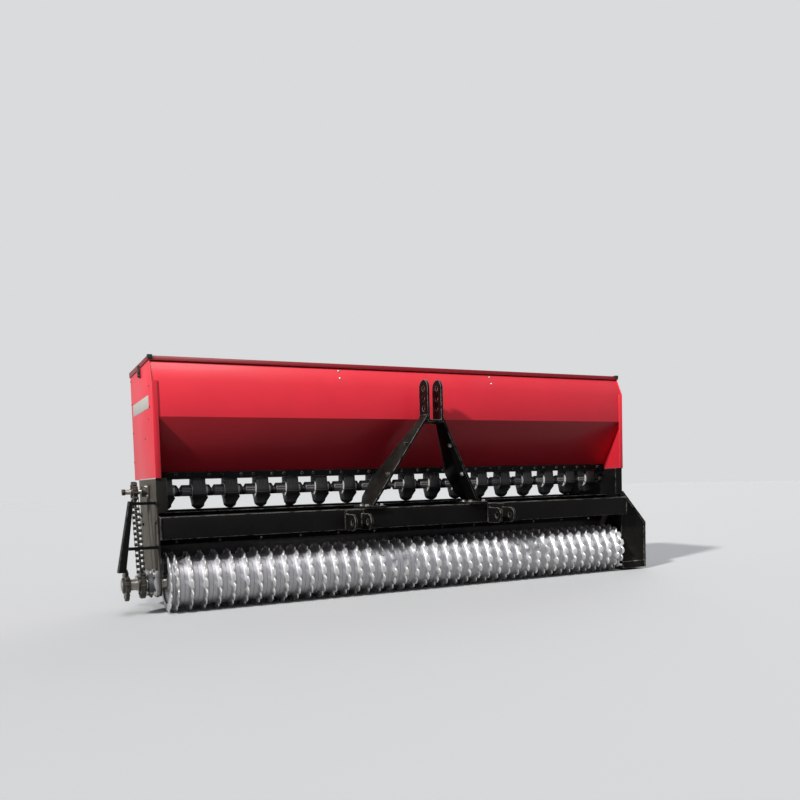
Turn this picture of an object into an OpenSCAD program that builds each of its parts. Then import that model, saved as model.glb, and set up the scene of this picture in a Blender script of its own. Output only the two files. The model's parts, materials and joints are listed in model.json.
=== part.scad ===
// Seed drill with two ring rollers, a full-width seed hopper and a three-point hitch.
// The machine's frame: +X to the end with the folded cover, +Y to the rear, +Z up.
// Every module is drawn with the front axle over y = 0, and place() centres the whole drill.

/* [Rollers] */
// Distance from crest to crest along a roller
ring_pitch = 63.5; // [52:0.5:72]
// Number of rings on the front roller
ring_count = 41; // [39:2:45]
// Radius of the front rings at the crest
front_r = 139; // [125:1:141]
// Radius of the front rings between the crests
front_base_r = 112; // [100:1:116]
// Radius of the rear rings at the crest
rear_r = 115; // [100:1:120]
// Radius of the rear rings between the crests
rear_base_r = 92; // [80:1:96]
// Distance between the two axles
axle_gap = 268; // [266:1:290]
// Width of a ring's crest
crest_w = 6; // [3:0.5:8]
// Half the width of a crest's flank at its foot
foot_w = 14; // [11:0.5:15]
// Thickness of the ring wall
ring_wall = 14; // [8:1:18]
// Radius of both axles
axle_r = 25; // [18:1:28]
// Space between a roller's end and the plate
roller_gap = 29; // [20:1:40]
// Teeth round a front ring
front_teeth = 16; // [12:1:18]
// Teeth round a rear ring
rear_teeth = 13; // [10:1:15]
// Depth of the notches between the teeth
notch = 12.5; // [6:0.5:13]

/* [Frame] */
// Thickness of the end plates
plate_t = 8; // [6:1:12]
// How far the end plates reach before the front axle
plate_front = 83; // [70:1:100]
// How far the end plates reach behind the rear axle
plate_back = 137; // [110:1:160]
// Height of the end plates' lower edge
plate_low = 85; // [60:1:95]
// Width of the flanges on the end plates
flange_w = 40; // [25:1:50]
// Width of the flanges on the hopper's end panels
panel_flange_w = 25; // [20:1:40]
// Side of the square toolbar
bar_side = 100; // [80:1:110]
// Wall of the toolbar and the rear beam
bar_wall = 6; // [4:1:10]
// Height of the toolbar's lower face
bar_low = 340; // [330:1:350]
// How far the toolbar's front face stands before the front axle
bar_front = 127; // [120:1:140]
// Side of the square rear beam
beam_side = 80; // [60:1:90]
// Height of the rear beam's lower face
beam_low = 380; // [370:1:400]

/* [Hopper] */
// Height of the hopper's lower edge
hopper_low = 613; // [600:1:640]
// Height of the hopper's upper edge
hopper_top = 1153; // [1100:1:1200]
// How far the hopper stands before the front axle
hopper_front = 92; // [88:1:110]
// Depth of the hopper from front to rear
hopper_depth = 636; // [600:1:680]
// Depth of the slanted upper front edge
chamfer_y = 50; // [30:1:70]
// Height of the slanted upper front edge
chamfer_z = 110; // [80:1:130]
// Height where the front panel folds back
front_fold = 885; // [850:1:920]
// Height where the rear panel folds forward
rear_fold = 860; // [830:1:900]
// Thickness of the hopper's sheets
sheet_t = 4; // [3:0.5:6]
// Width of the hopper's floor
floor_w = 114; // [105:1:130]
// Height of the walls of the feed channel
channel_h = 32; // [26:1:45]

/* [Lid] */
// Thickness of the lid
lid_t = 4; // [3:0.5:6]
// Height of the lip around the lid
lip_h = 20; // [14:1:26]
// Radius of the lid's hinge knuckles
knuckle_r = 7; // [6:0.5:9]
// Length of a hinge knuckle
knuckle_l = 60; // [40:1:80]
// Number of hinges
hinge_count = 4; // [2:1:5]

/* [Seed metering] */
// Distance from the first metering cup to the end plate beside the chain
cup_end = 62; // [60:1:80]
// Extra distance in the middle for the centre bearing
bearing_gap = 40; // [38:1:45]
// Number of metering cups on each side of the middle one
cup_half = 8; // [6:1:8]
// Width of a metering cup
cup_w = 60; // [50:1:62]
// Height of a metering cup
cup_h = 144; // [130:1:146]
// Radius of the cup's round housing
cup_r = 45; // [42:1:48]
// Distance of the feed shaft behind the front axle
shaft_y = 111; // [108:1:118]
// Drop from the feed channel to the feed shaft
shaft_drop = 55; // [50:1:60]
// Radius of the feed shaft
shaft_r = 11; // [9:0.5:13]
// Radius of the fluted rollers
flute_r = 27; // [22:1:29]
// Length of a fluted roller outside its cup
flute_out = 46; // [30:1:50]
// Length of the sleeve on the other side of a cup
sleeve_l = 24; // [15:1:26]
// Length of the cones that end the fluted rollers and sleeves
cone_l = 12; // [6:1:12]
// How far a cup's shutter bulges beyond its side
bulge = 13; // [6:1:14]
// Number of flutes
flute_count = 12; // [8:1:14]

/* [Drive] */
// Teeth on the roller's sprocket
drive_teeth = 14; // [12:1:15]
// Teeth on the feed shaft's sprocket
feed_teeth = 10; // [9:1:13]
// Teeth on the spare sprocket at the end of the front axle
spare_teeth = 16; // [12:1:16]
// Pitch of the chain
chain_pitch = 25.4; // [22:0.1:27]
// Height of the chain's links
link_h = 16; // [12:1:20]
// Distance of the chain outside the end plate
chain_out = 66; // [66:1:80]
// Distance from the chain out to the spare sprocket
spare_out = 68; // [50:1:75]
// Height of the upper end of the slanted guard
guard_top = 515; // [490:1:530]
// Distance of the guard's upper end outside the end plate
guard_top_out = 116; // [105:1:130]
// Width of the guard's lower end
guard_low_w = 33; // [24:1:40]
// Width of the guard's upper end
guard_top_w = 18; // [12:1:24]
// Depth of the guard's folded side
guard_side = 50; // [30:1:55]
// Radius of the knob that sets the seed rate
knob_r = 15; // [12:0.5:18]
// Lobes of the knob
knob_lobes = 6; // [5:1:8]
// Width of the guards beside the end plates
guard_w = 175; // [170:1:190]
// Thickness of the guard sheets
guard_t = 4; // [3:0.5:6]
// Height of the folded cover where it meets the end plate
cover_top = 478; // [440:1:500]
// Height of the folded cover's outer shoulder
cover_knee = 286; // [260:1:310]
// Height of the folded cover's lower edge
cover_low = 12; // [8:1:40]

/* [Hitch] */
// Distance between the lower hitch points
hitch_span = 825; // [780:1:870]
// Clear gap between a clevis's ears
clevis_gap = 70; // [60:1:80]
// Radius of the lower hitch holes
hitch_r = 14.4; // [11:0.1:16]
// Height of the lower hitch holes
hitch_z = 378; // [370:1:395]
// Distance of the lower hitch holes before the toolbar
hitch_reach = 83; // [75:1:95]
// Radius of the rounded ends of the clevis ears
clevis_r = 40; // [34:1:44]
// Thickness of the hitch plates
hitch_t = 12; // [8:1:16]
// Clear gap between the top-link ears
mast_gap = 64; // [52:1:70]
// Width of the top-link ears
ear_w = 88; // [70:1:96]
// Height of the lowest top-link hole
mast_hole_z = 930; // [915:1:945]
// Distance between the top-link holes
mast_hole_pitch = 50; // [44:1:56]
// Number of top-link holes
mast_holes = 3; // [2:1:3]
// Radius of the top-link holes
mast_hole_r = 13; // [11:0.1:14]
// Distance of the ears' middle before the front axle
mast_y = 190; // [180:1:200]
// Distance from a lower hitch point in to a leg's foot
leg_inset = 112.5; // [90:0.5:130]
// Height where the legs end at the ears
leg_top_z = 890; // [870:1:900]

/* [Hidden] */
$fn = 48;
// Clearance between pieces that turn in each other
run_gap = 0.05;
// Clearance between a lid or cover and what it rests on
rest_gap = 0.3;
// Clearance round a turning piece
turn_gap = 5;
// Extra length of a cutting shape past both faces
cut = 1;

// Rollers and their bearings
roller_half = ring_count * ring_pitch / 2;
flank_rise = 4;
shoulder_share = 0.55;
flank_out = 2;
tooth_flat = 0.42;
stagger = 5;
web_out = 16;
web_t = 12;
hub_wall = 16;
hub_l = 32;
axle_stub = 60;
axle_over = 20;
bearing_side = 120;
bearing_corner = 18;
bearing_t = 14;
bearing_l = 44;
bearing_r = 42;
bearing_flare = 8;
bearing_ease = 5;

// End plates and beams
plate_in = roller_half + roller_gap + crest_w / 2;
plate_out = plate_in + plate_t;
side_out = plate_out + guard_w;
plate_rear_y = axle_gap + plate_back;
plate_corner = 20;
plate_rear_corner = 40;
plate_inset = 2;
lobe_rim = 8;
lobe_low = rear_r - bearing_side / 2 - lobe_rim;
bar_top = bar_low + bar_side;
beam_top = beam_low + beam_side;
beam_back = 32;
beam_y = axle_gap + beam_back;

// Hopper, its channel and its stays
hopper_rear_y = hopper_depth - hopper_front;
panel_in = plate_out - sheet_t;
front_sheet_y = sheet_t - hopper_front;
rear_sheet_y = hopper_rear_y - sheet_t;
channel_low = hopper_low - sheet_t;
floor_z = hopper_low;
shaft_z = channel_low - shaft_drop;
floor_shift = 35;
floor_y0 = shaft_y - floor_w / 2 + floor_shift;
floor_y1 = floor_y0 + floor_w;
channel_top = channel_low + channel_h;
lap_front = 8;
lap_rear = 14;
slot_w = 28;
slot_l = 38;
slot_edge = 8;
stay_x = 590;
stay_t = 10;
stay_gap = 6;

// Lid hinges
hinge_y = hopper_rear_y + knuckle_r + 1;
hinge_z = hopper_top + knuckle_r;
pin_r = 3;
leaf_t = 3;
leaf_h = 30;
leaf_w = 10;

// Boards under the cups
deflector_top = channel_low - cup_h;
deflector_t = 4;
deflector_y = 62;
deflector_lip = 20;
deflector_toe = 38;
deflector_knee = 75;
deflector_gap = 25;
board_drop = 8;
rear_board_top = 80;
rear_board_lean = 30;
rear_board_gap = 45;

// Metering cups and the feed shaft
cup_pitch = (plate_in - bearing_gap - cup_end) / cup_half;
cup_xs = concat([for (i = [0 : cup_half]) i * cup_pitch],
                [for (i = [1 : cup_half]) -bearing_gap - i * cup_pitch]);
cup_wall = 4;
cup_shoulder = 6;
chute_r = 26;
chute_back = 8;
bulge_drop = 34;
bulge_start = 20;
rim_t = 4;
rim_in = 3;
flute_in = cup_wall + turn_gap;
flute_cut_r = 4;
shaft_over = 40;
feed_block = 60;
feed_block_t = 10;
feed_boss_l = 34;
feed_boss_r = 24;
middle_block_w = 18;
hanger_w = 30;
end_block_w = 20;
knob_l = 14;
knob_lobe_r = 5;

// Chain, sprockets, guard and cover
chain_x = plate_out + chain_out;
spare_x = chain_x + spare_out;
link_gap = 16;
link_t = 3;
tooth_w = link_gap - 2 * rest_gap;
tooth_low = 2;
tooth_share = 0.33;
sprocket_wall = 9;
drive_hub = 9;
feed_hub = 8;
chain_roller_r = 7.9;
guard_arm_t = 10;
guard_arm_w = 14;
guard_arm_z = 300;
guard_foot = 40;
cover_back = 80;
cover_lip = 12;
cover_band_h = 40;
cover_band_t = 6;

// Hitch frame
mast_top = mast_hole_z + (mast_holes - 1) * mast_hole_pitch + ear_w / 2;
leg_foot_x = hitch_span / 2 - leg_inset;
leg_lap = 14;
leg_rear_y = 58;
leg_heel = 45;
leg_knee_z = 596;
leg_step = 10;
head_drop = 30;
foot_half = 55;
foot_front = 20;
foot_back = 40;
clevis_y = -bar_front - hitch_reach;

// Middle of the whole drill from front to rear
front_end_y = clevis_y - clevis_r;
rear_end_y = hinge_y + knuckle_r;
mid_y = (front_end_y + rear_end_y) / 2;

// Colours of the paint and metals
red = [0.86, 0.15, 0.2];
maroon = [0.35, 0.05, 0.08];
black = [0.09, 0.09, 0.1];
silver = [0.76, 0.77, 0.78];
grey = [0.55, 0.56, 0.57];
steel = [0.4, 0.38, 0.36];

// Sets the whole drill over the middle of its own length and depth
module place() {
    translate([0, -mid_y, 0]) children();
}

// Extrudes a (y, z) outline along X from x0 to x1
module x_prism(x0, x1) {
    translate([x0, 0, 0]) rotate([90, 0, 90]) linear_extrude(x1 - x0) children();
}

// Extrudes an (x, z) outline along Y from y0 to y1
module y_prism(y0, y1) {
    translate([0, y1, 0]) rotate([90, 0, 0]) linear_extrude(y1 - y0) children();
}

// A cylinder along X from x0 to x1 at (y, z)
module x_rod(x0, x1, y, z, r, fn = 48) {
    translate([x0, y, z]) rotate([0, 90, 0]) cylinder(h = x1 - x0, r = r, $fn = fn);
}

// Where a wall of thickness t, drawn inside the corner p between a and b, has its own corner
function unit(v) = v / norm(v);
function normal(a, b) = let (d = unit(b - a)) [-d[1], d[0]];
function wall_corner(a, p, b, t) =
    let (n0 = normal(a, p), n1 = normal(p, b)) p + (n0 + n1) * t / (1 + n0 * n1);
// Outline of a bent sheet: the given points and the same points moved inwards by t
function sheet(p, t) =
    let (n = len(p) - 1)
    concat(p,
           [p[n] + normal(p[n - 1], p[n]) * t],
           [for (i = [n - 1 : -1 : 1]) wall_corner(p[i - 1], p[i], p[i + 1], t)],
           [p[0] + normal(p[0], p[1]) * t]);

// Pitch radius of a sprocket with so many teeth
function pitch_radius(teeth) = chain_pitch / (2 * sin(180 / teeth));

// One ring's crest below its notches, as (radius, x) points about the place x
function crest(x, tip, base) =
    let (shoulder = base + (tip - base) * (1 - shoulder_share) / 2, low = tip - notch)
    [[base + flank_rise / 2, x - foot_w], [shoulder + flank_rise / 2, x - foot_w / 2],
     [low, x - crest_w / 2 - flank_out], [low, x + crest_w / 2 + flank_out],
     [shoulder + flank_rise / 2, x + foot_w / 2], [base + flank_rise / 2, x + foot_w]];

// Points between two crests
function valley(x, base) = [[base, x - ring_pitch / 8], [base, x + ring_pitch / 8]];

// The notched edge of one ring: teeth with a flat top and a V between them
module ring_edge(x, tip, teeth, turn) {
    step = 360 / teeth;
    low = tip - notch;
    // Corners of one tooth as (radius, share of the step)
    corners = [[low - cut, 0], [tip, (1 - tooth_flat) / 2], [tip, (1 + tooth_flat) / 2]];
    x_prism(x - crest_w / 2, x + crest_w / 2) rotate(turn) difference() {
        polygon([for (i = [0 : teeth - 1], p = corners)
                     p[0] * [cos((i + p[1]) * step), sin((i + p[1]) * step)]]);
        circle(low - 2 * flank_out, $fn = 96);
    }
}

// Cast rings on one shell, with a web and hub at each end: xs are the places of the crests
module ring_roller(xs, tip, base, teeth, ends) {
    inner = base - ring_wall;
    last = xs[len(xs) - 1];
    low = xs[0] - (ends ? ring_pitch / 2 : foot_w + cut);
    high = last + (ends ? ring_pitch / 2 : foot_w + cut);
    foot = tip - notch;
    near = crest_w / 2 + flank_out;
    start = ends ? [[inner, low - near], [foot, low - near], [foot, low + near],
                    [base + flank_rise, low + foot_w / 2]]
                 : [[inner, low], [base, low]];
    finish = ends ? [[base + flank_rise, high - foot_w / 2], [foot, high - near],
                     [foot, high + near], [inner, high + near]]
                  : [[base, high], [inner, high]];
    body = [for (i = [0 : len(xs) - 1])
                each concat(crest(xs[i], tip, base),
                            i < len(xs) - 1 ? valley(xs[i] + ring_pitch / 2, base) : [])];
    rotate([0, 90, 0]) rotate_extrude($fn = 96) polygon(concat(start, body, finish));
    edges = ends ? concat([low], xs, [high]) : xs;
    for (i = [0 : len(edges) - 1])
        ring_edge(edges[i], tip, teeth, (i * 2 % stagger) / stagger * 360 / teeth);
    for (s = [-1, 1]) roller_web(s, s < 0 ? low : high, inner);
}

// The spoked web and hub that carry a ring on the axle
module roller_web(s, x, inner) {
    web_x = x - s * web_out;
    hub_r = axle_r + hub_wall;
    difference() {
        union() {
            x_rod(web_x - web_t / 2, web_x + web_t / 2, 0, 0, inner + cut);
            x_rod(web_x - hub_l / 2, web_x + hub_l / 2, 0, 0, hub_r);
        }
        x_rod(web_x - hub_l, web_x + hub_l, 0, 0, axle_r + run_gap);
        for (a = [0 : 60 : 300]) rotate([a, 0, 0])
            x_rod(web_x - hub_l, web_x + hub_l, 0, (inner + hub_r) / 2, (inner - hub_r) / 3);
    }
}

module front_rings() {
    first = -(ring_count - 1) / 2 * ring_pitch;
    color(silver) translate([0, 0, front_r])
        ring_roller([for (i = [0 : ring_count - 1]) first + i * ring_pitch],
                    front_r, front_base_r, front_teeth, true);
}

module rear_rings() {
    first = -(ring_count - 2) / 2 * ring_pitch;
    color(silver) translate([0, axle_gap, rear_r])
        ring_roller([for (i = [0 : ring_count - 2]) first + i * ring_pitch],
                    rear_r, rear_base_r, rear_teeth, false);
}

module front_axle() {
    color(steel) x_rod(-spare_x - axle_over, plate_out + axle_stub, 0, front_r, axle_r);
}

module rear_axle() {
    color(steel) x_rod(-plate_out - axle_stub, plate_out + axle_stub, axle_gap, rear_r, axle_r);
}

// A square with rounded corners
module pad(side, r) {
    for (a = [0, 90]) rotate(a) square([side, side - 2 * r], center = true);
    for (a = [0 : 90 : 270]) rotate(a) translate([side / 2 - r, side / 2 - r]) circle(r);
}

// A flanged bearing on the outer face of an end plate, with its flared boss
module flange_bearing(s, y, z) {
    flare = bearing_t + bearing_flare;
    mirror([s < 0 ? 1 : 0, 0, 0]) difference() {
        union() {
            x_prism(plate_out, plate_out + bearing_t) translate([y, z]) pad(bearing_side, bearing_corner);
            translate([plate_out, y, z]) rotate([0, 90, 0]) rotate_extrude()
                polygon([[0, 0], [bearing_r + bearing_flare, 0], [bearing_r + bearing_flare, bearing_t],
                         [bearing_r, flare], [bearing_r, bearing_l - bearing_ease],
                         [bearing_r - bearing_ease, bearing_l], [0, bearing_l]]);
        }
        x_rod(plate_in, side_out, y, z, axle_r + run_gap);
    }
}

module front_bearings() {
    color(grey) for (s = [-1, 1]) flange_bearing(s, 0, front_r);
}

module rear_bearings() {
    color(grey) for (s = [-1, 1]) flange_bearing(s, axle_gap, rear_r);
}

// A side plate of the frame with its shafts' holes and the flange on its front edge
module end_plate(s) {
    x0 = s > 0 ? plate_in : -plate_out;
    color(black) {
        x_prism(x0, x0 + plate_t) difference() {
            polygon([[-plate_front, plate_low + plate_corner], [plate_corner - plate_front, plate_low],
                     [axle_gap - bearing_side, plate_low], [axle_gap - bearing_side / 2, lobe_low],
                     [axle_gap + bearing_side / 2, lobe_low],
                     [plate_rear_y, plate_low + plate_rear_corner],
                     [plate_rear_y, hopper_low], [-plate_front, hopper_low]]);
            translate([0, front_r]) circle(axle_r + turn_gap);
            translate([axle_gap, rear_r]) circle(axle_r + turn_gap);
            translate([shaft_y, shaft_z]) circle(shaft_r + turn_gap);
        }
        flange_x = s > 0 ? plate_in - flange_w : -plate_in;
        low = bar_top + plate_corner;
        for (y = [-plate_front, plate_rear_y - plate_t])
            translate([flange_x, y, low]) cube([flange_w, plate_t, hopper_low - low]);
    }
}

module end_plate_left() {
    end_plate(-1);
}

module end_plate_right() {
    end_plate(1);
}

// A square tube along X between the end plates
module square_tube(y, z, side) {
    difference() {
        translate([-plate_in, y, z]) cube([2 * plate_in, side, side]);
        translate([-plate_in - cut, y + bar_wall, z + bar_wall])
            cube([2 * (plate_in + cut), side - 2 * bar_wall, side - 2 * bar_wall]);
    }
}

module toolbar() {
    color(black) square_tube(-bar_front, bar_low, bar_side);
}

module rear_beam() {
    color(black) square_tube(beam_y, beam_low, beam_side);
}

// The full-width board that keeps the falling seed off the front roller
module seed_deflector() {
    color(black) x_prism(-plate_in, plate_in)
        polygon(sheet([[deflector_y + deflector_toe, 2 * front_r + deflector_gap],
                       [deflector_y, 2 * front_r + deflector_gap + deflector_knee],
                       [deflector_y, deflector_top - board_drop],
                       [deflector_y - deflector_lip, deflector_top - board_drop]], deflector_t));
}

// The shorter board behind the seed
module rear_deflector() {
    color(black) x_prism(-plate_in, plate_in)
        polygon(sheet([[beam_y, beam_low + beam_side / 4],
                       [beam_y - rear_board_top, beam_low + beam_side / 4],
                       [beam_y - rear_board_top - rear_board_lean, 2 * rear_r + rear_board_gap]],
                      deflector_t));
}

// The front sheet: slanted edge, upright panel and the slope down to the feed channel
module hopper_front() {
    color(red) x_prism(-panel_in, panel_in)
        polygon(sheet([[floor_y0, floor_z], [front_sheet_y, front_fold],
                       [front_sheet_y, hopper_top - chamfer_z],
                       [front_sheet_y + chamfer_y, hopper_top]], -sheet_t));
}

// The rear sheet: upright panel and the slope down to the feed channel
module hopper_rear() {
    color(red) x_prism(-panel_in, panel_in)
        polygon(sheet([[floor_y1, floor_z], [rear_sheet_y, rear_fold],
                       [rear_sheet_y, hopper_top]], sheet_t));
}

// An end panel with its front and rear flanges
module hopper_end(s) {
    x0 = s > 0 ? panel_in : -plate_out;
    flange_x = s > 0 ? plate_out - panel_flange_w : -plate_out;
    color(red) {
        x_prism(x0, x0 + sheet_t)
            polygon([[-hopper_front, hopper_low], [hopper_rear_y, hopper_low],
                     [hopper_rear_y, hopper_top], [chamfer_y - hopper_front, hopper_top],
                     [-hopper_front, hopper_top - chamfer_z]]);
        translate([flange_x, -hopper_front, hopper_low])
            cube([panel_flange_w, sheet_t, hopper_top - chamfer_z - hopper_low]);
        translate([flange_x, rear_sheet_y, hopper_low])
            cube([panel_flange_w, sheet_t, hopper_top - hopper_low]);
    }
}

module hopper_end_left() {
    hopper_end(-1);
}

module hopper_end_right() {
    hopper_end(1);
}

// The black channel that closes the hopper below, with a slot over each cup
module feed_channel() {
    slope_f = (floor_y0 - front_sheet_y) / (front_fold - floor_z);
    slope_r = (rear_sheet_y - floor_y1) / (rear_fold - floor_z);
    rise = channel_top - floor_z;
    color(black) difference() {
        x_prism(-plate_in, plate_in)
            polygon(sheet([[floor_y0 - rise * slope_f - lap_front, channel_top],
                           [floor_y0 - rise * slope_f - lap_front, channel_low],
                           [floor_y1 + rise * slope_r + lap_rear, channel_low],
                           [floor_y1 + rise * slope_r + lap_rear, channel_top]], sheet_t));
        for (x = cup_xs)
            translate([x - slot_w / 2, floor_y0 + slot_edge, channel_low - cut])
                cube([slot_w, slot_l, sheet_t + 2 * cut]);
    }
}

// Upright plates that carry the hopper on the rear beam
module hopper_stays() {
    back = beam_y + beam_side;
    slope_r = (rear_fold - floor_z) / (rear_sheet_y - floor_y1);
    color(black) for (x = [-stay_x, stay_x])
        x_prism(x - stay_t / 2, x + stay_t / 2)
            polygon([[beam_y, beam_top], [back, beam_top],
                     [back, floor_z + (back - floor_y1) * slope_r - stay_gap],
                     [beam_y, floor_z + (beam_y - floor_y1) * slope_r - stay_gap]]);
}

// The lid with its lip round three sides and its hinge knuckles
module lid() {
    rear = [hopper_rear_y, hopper_top];
    edge = [chamfer_y - hopper_front, hopper_top];
    down = [-hopper_front, hopper_top - chamfer_z];
    lip = edge + unit(down - edge) * lip_h - normal(edge, down) * rest_gap;
    inner = [rear + [0, rest_gap], wall_corner(rear, edge, down, -rest_gap), lip];
    outer = sheet(inner, -lid_t);
    side_in = plate_out + rest_gap;
    color(maroon) {
        x_prism(-side_in, side_in) polygon(outer);
        for (s = [-1, 1])
            x_prism(s > 0 ? side_in : -side_in - lid_t, s > 0 ? side_in + lid_t : -side_in)
                polygon([outer[3], outer[4], outer[5], [rear[0], hopper_top - lip_h]]);
        for (i = [0 : hinge_count - 1]) hinge_part(i, 1);
    }
}

function hinge_x(i) = (i - (hinge_count - 1) / 2) * 2 * plate_in / hinge_count;

// Knuckles and leaf of hinge i: side 1 belongs to the lid and side 0 to the hopper
module hinge_part(i, side) {
    x0 = hinge_x(i) + (side > 0 ? -knuckle_l : 0) + rest_gap;
    x1 = x0 + knuckle_l - 2 * rest_gap;
    difference() {
        union() {
            x_rod(x0, x1, hinge_y, hinge_z, knuckle_r);
            if (side > 0)
                translate([x0, hinge_y - knuckle_r - leaf_w, hopper_top + rest_gap + lid_t - cut])
                    cube([x1 - x0, leaf_w + knuckle_r / 2, leaf_t + cut]);
            if (side == 0)
                translate([x0, hopper_rear_y, hopper_top - leaf_h])
                    cube([x1 - x0, leaf_t, leaf_h + knuckle_r]);
        }
        if (side > 0) x_rod(x0 - cut, x1 + cut, hinge_y, hinge_z, pin_r + run_gap);
    }
    if (side == 0) x_rod(x0 - knuckle_l + rest_gap, x0 + cut, hinge_y, hinge_z, pin_r);
}

module lid_hinges() {
    color(steel) for (i = [0 : hinge_count - 1]) hinge_part(i, 0);
}

// A cup's (x, z) outline from the front: straight neck, shutter that bulges, round foot
module cup_outline(low) {
    half = cup_w / 2;
    top = shaft_z - bulge_start;
    side = shaft_z - bulge_drop;
    polygon([[-half, channel_low], [half, channel_low], [half, top], [half + bulge, side],
             [chute_r, low + chute_r], [-chute_r, low + chute_r], [-half, side]]);
    translate([0, low + chute_r]) circle(chute_r);
}

// A metering cup: round housing on the feed shaft over a narrow round-bottomed chute
module cup(x) {
    low = channel_low - cup_h;
    chute_y = shaft_y + chute_back;
    side = x + cup_w / 2;
    difference() {
        union() {
            intersection() {
                x_prism(x - cup_w, x + cup_w) union() {
                    translate([shaft_y, shaft_z]) circle(cup_r);
                    translate([chute_y, low + chute_r]) circle(chute_r);
                    polygon([[shaft_y - cup_r, shaft_z], [shaft_y - cup_r + cup_shoulder, channel_low],
                             [shaft_y + cup_r - cup_shoulder, channel_low], [shaft_y + cup_r, shaft_z],
                             [chute_y + chute_r, low + chute_r], [chute_y - chute_r, low + chute_r]]);
                }
                y_prism(0, axle_gap) translate([x, 0]) cup_outline(low);
            }
            translate([side - cut, shaft_y, shaft_z]) rotate([0, 90, 0]) {
                cylinder(h = sleeve_l + cut, r = flute_r);
                translate([0, 0, sleeve_l + cut])
                    cylinder(h = cone_l - turn_gap / 2, r1 = flute_r, r2 = shaft_r + turn_gap / 2);
            }
        }
        x_rod(x - cup_w, side - cup_wall, shaft_y, shaft_z, flute_r + rest_gap);
        x_rod(x, x + cup_pitch / 2, shaft_y, shaft_z, shaft_r + rest_gap);
    }
}

module metering_cups() {
    color(black) for (x = cup_xs) cup(x);
}

// The pale ring on the side of each cup where the fluted roller comes out
module cup_flanges() {
    color(grey) for (x = cup_xs) difference() {
        x_rod(x - cup_w / 2 - rim_t, x - cup_w / 2, shaft_y, shaft_z, cup_r - rim_in);
        x_rod(x - cup_w, x, shaft_y, shaft_z, flute_r + rest_gap);
    }
}

// The rollers that carry the seed, each with a cone at its outer end
module fluted_rollers() {
    color(silver) for (x = cup_xs) {
        x0 = max(x - cup_w / 2 - flute_out, -plate_in + turn_gap + cone_l);
        difference() {
            translate([x0, shaft_y, shaft_z]) rotate([0, -90, 0])
                cylinder(h = cone_l - turn_gap / 2, r1 = flute_r, r2 = shaft_r + turn_gap / 2);
            x_rod(x0 - cone_l - cut, x0 + cut, shaft_y, shaft_z, shaft_r + run_gap);
        }
        x_prism(x0, x + cup_w / 2 - flute_in) difference() {
            translate([shaft_y, shaft_z]) circle(flute_r);
            translate([shaft_y, shaft_z]) circle(shaft_r + run_gap);
            for (i = [0 : flute_count - 1]) translate([shaft_y, shaft_z])
                rotate(i * 360 / flute_count) translate([flute_r + cut, 0]) circle(flute_cut_r);
        }
    }
}

module feed_shaft() {
    color(steel) x_rod(-chain_x - shaft_over, plate_in - cut, shaft_y, shaft_z, shaft_r);
}

// Blocks that carry the feed shaft: outside the left plate, in the middle and at the right
module feed_bearings() {
    mid = (sleeve_l - flute_out - bearing_gap - cup_pitch) / 2;
    color(steel) difference() {
        union() {
            x_prism(-plate_out - feed_block_t, -plate_out)
                translate([shaft_y, shaft_z]) square(feed_block, center = true);
            x_rod(-plate_out - feed_boss_l, -plate_out, shaft_y, shaft_z, feed_boss_r);
            x_prism(mid - middle_block_w / 2, mid + middle_block_w / 2) union() {
                translate([shaft_y, shaft_z]) circle(feed_boss_r);
                translate([shaft_y - hanger_w / 2, shaft_z]) square([hanger_w, shaft_drop]);
            }
            x_rod(plate_in - end_block_w, plate_in, shaft_y, shaft_z, feed_boss_r);
        }
        x_rod(-side_out, side_out, shaft_y, shaft_z, shaft_r + run_gap);
    }
}

// A sprocket in the (y, z) plane at x, with its hub
module sprocket(x, y, z, teeth, bore, hub) {
    pr = pitch_radius(teeth);
    x_prism(x - tooth_w / 2, x + tooth_w / 2) translate([y, z]) difference() {
        circle(pr + link_h / 2 - tooth_low);
        circle(bore + run_gap);
        for (i = [0 : teeth - 1]) rotate(i * 360 / teeth) translate([pr, 0])
            circle(chain_pitch * tooth_share);
    }
    for (s = [-1, 1]) difference() {
        x_rod(s > 0 ? x + tooth_w / 2 : x - tooth_w / 2 - hub,
              s > 0 ? x + tooth_w / 2 + hub : x - tooth_w / 2, y, z, bore + sprocket_wall);
        x_rod(x - hub * 2, x + hub * 2, y, z, bore + run_gap);
    }
}

// The chain's sprocket and the spare one further out on the axle
module drive_sprocket() {
    color(steel) {
        sprocket(-chain_x, 0, front_r, drive_teeth, axle_r, drive_hub);
        sprocket(-spare_x, 0, front_r, spare_teeth, axle_r, drive_hub);
    }
}

module feed_sprocket() {
    color(steel) sprocket(-chain_x, shaft_y, shaft_z, feed_teeth, shaft_r, feed_hub);
}

// The lobed knob on the end of the feed shaft
module rate_knob() {
    x0 = -chain_x - shaft_over - knob_l;
    color(black) x_prism(x0, x0 + knob_l) translate([shaft_y, shaft_z]) {
        circle(knob_r - knob_lobe_r / 2);
        for (i = [0 : knob_lobes - 1]) rotate(i * 360 / knob_lobes)
            translate([knob_r - knob_lobe_r, 0]) circle(knob_lobe_r);
    }
}

// The area inside a belt round two circles in the (y, z) plane
module belt(c0, r0, c1, r1) {
    d = c1 - c0;
    along = atan2(d[1], d[0]);
    open = acos((r0 - r1) / norm(d));
    function rim(c, r, a) = c + r * [cos(a), sin(a)];
    translate(c0) circle(r0, $fn = 96);
    translate(c1) circle(r1, $fn = 96);
    polygon([rim(c0, r0, along - open), rim(c1, r1, along - open),
             rim(c1, r1, along + open), rim(c0, r0, along + open)]);
}

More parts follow.
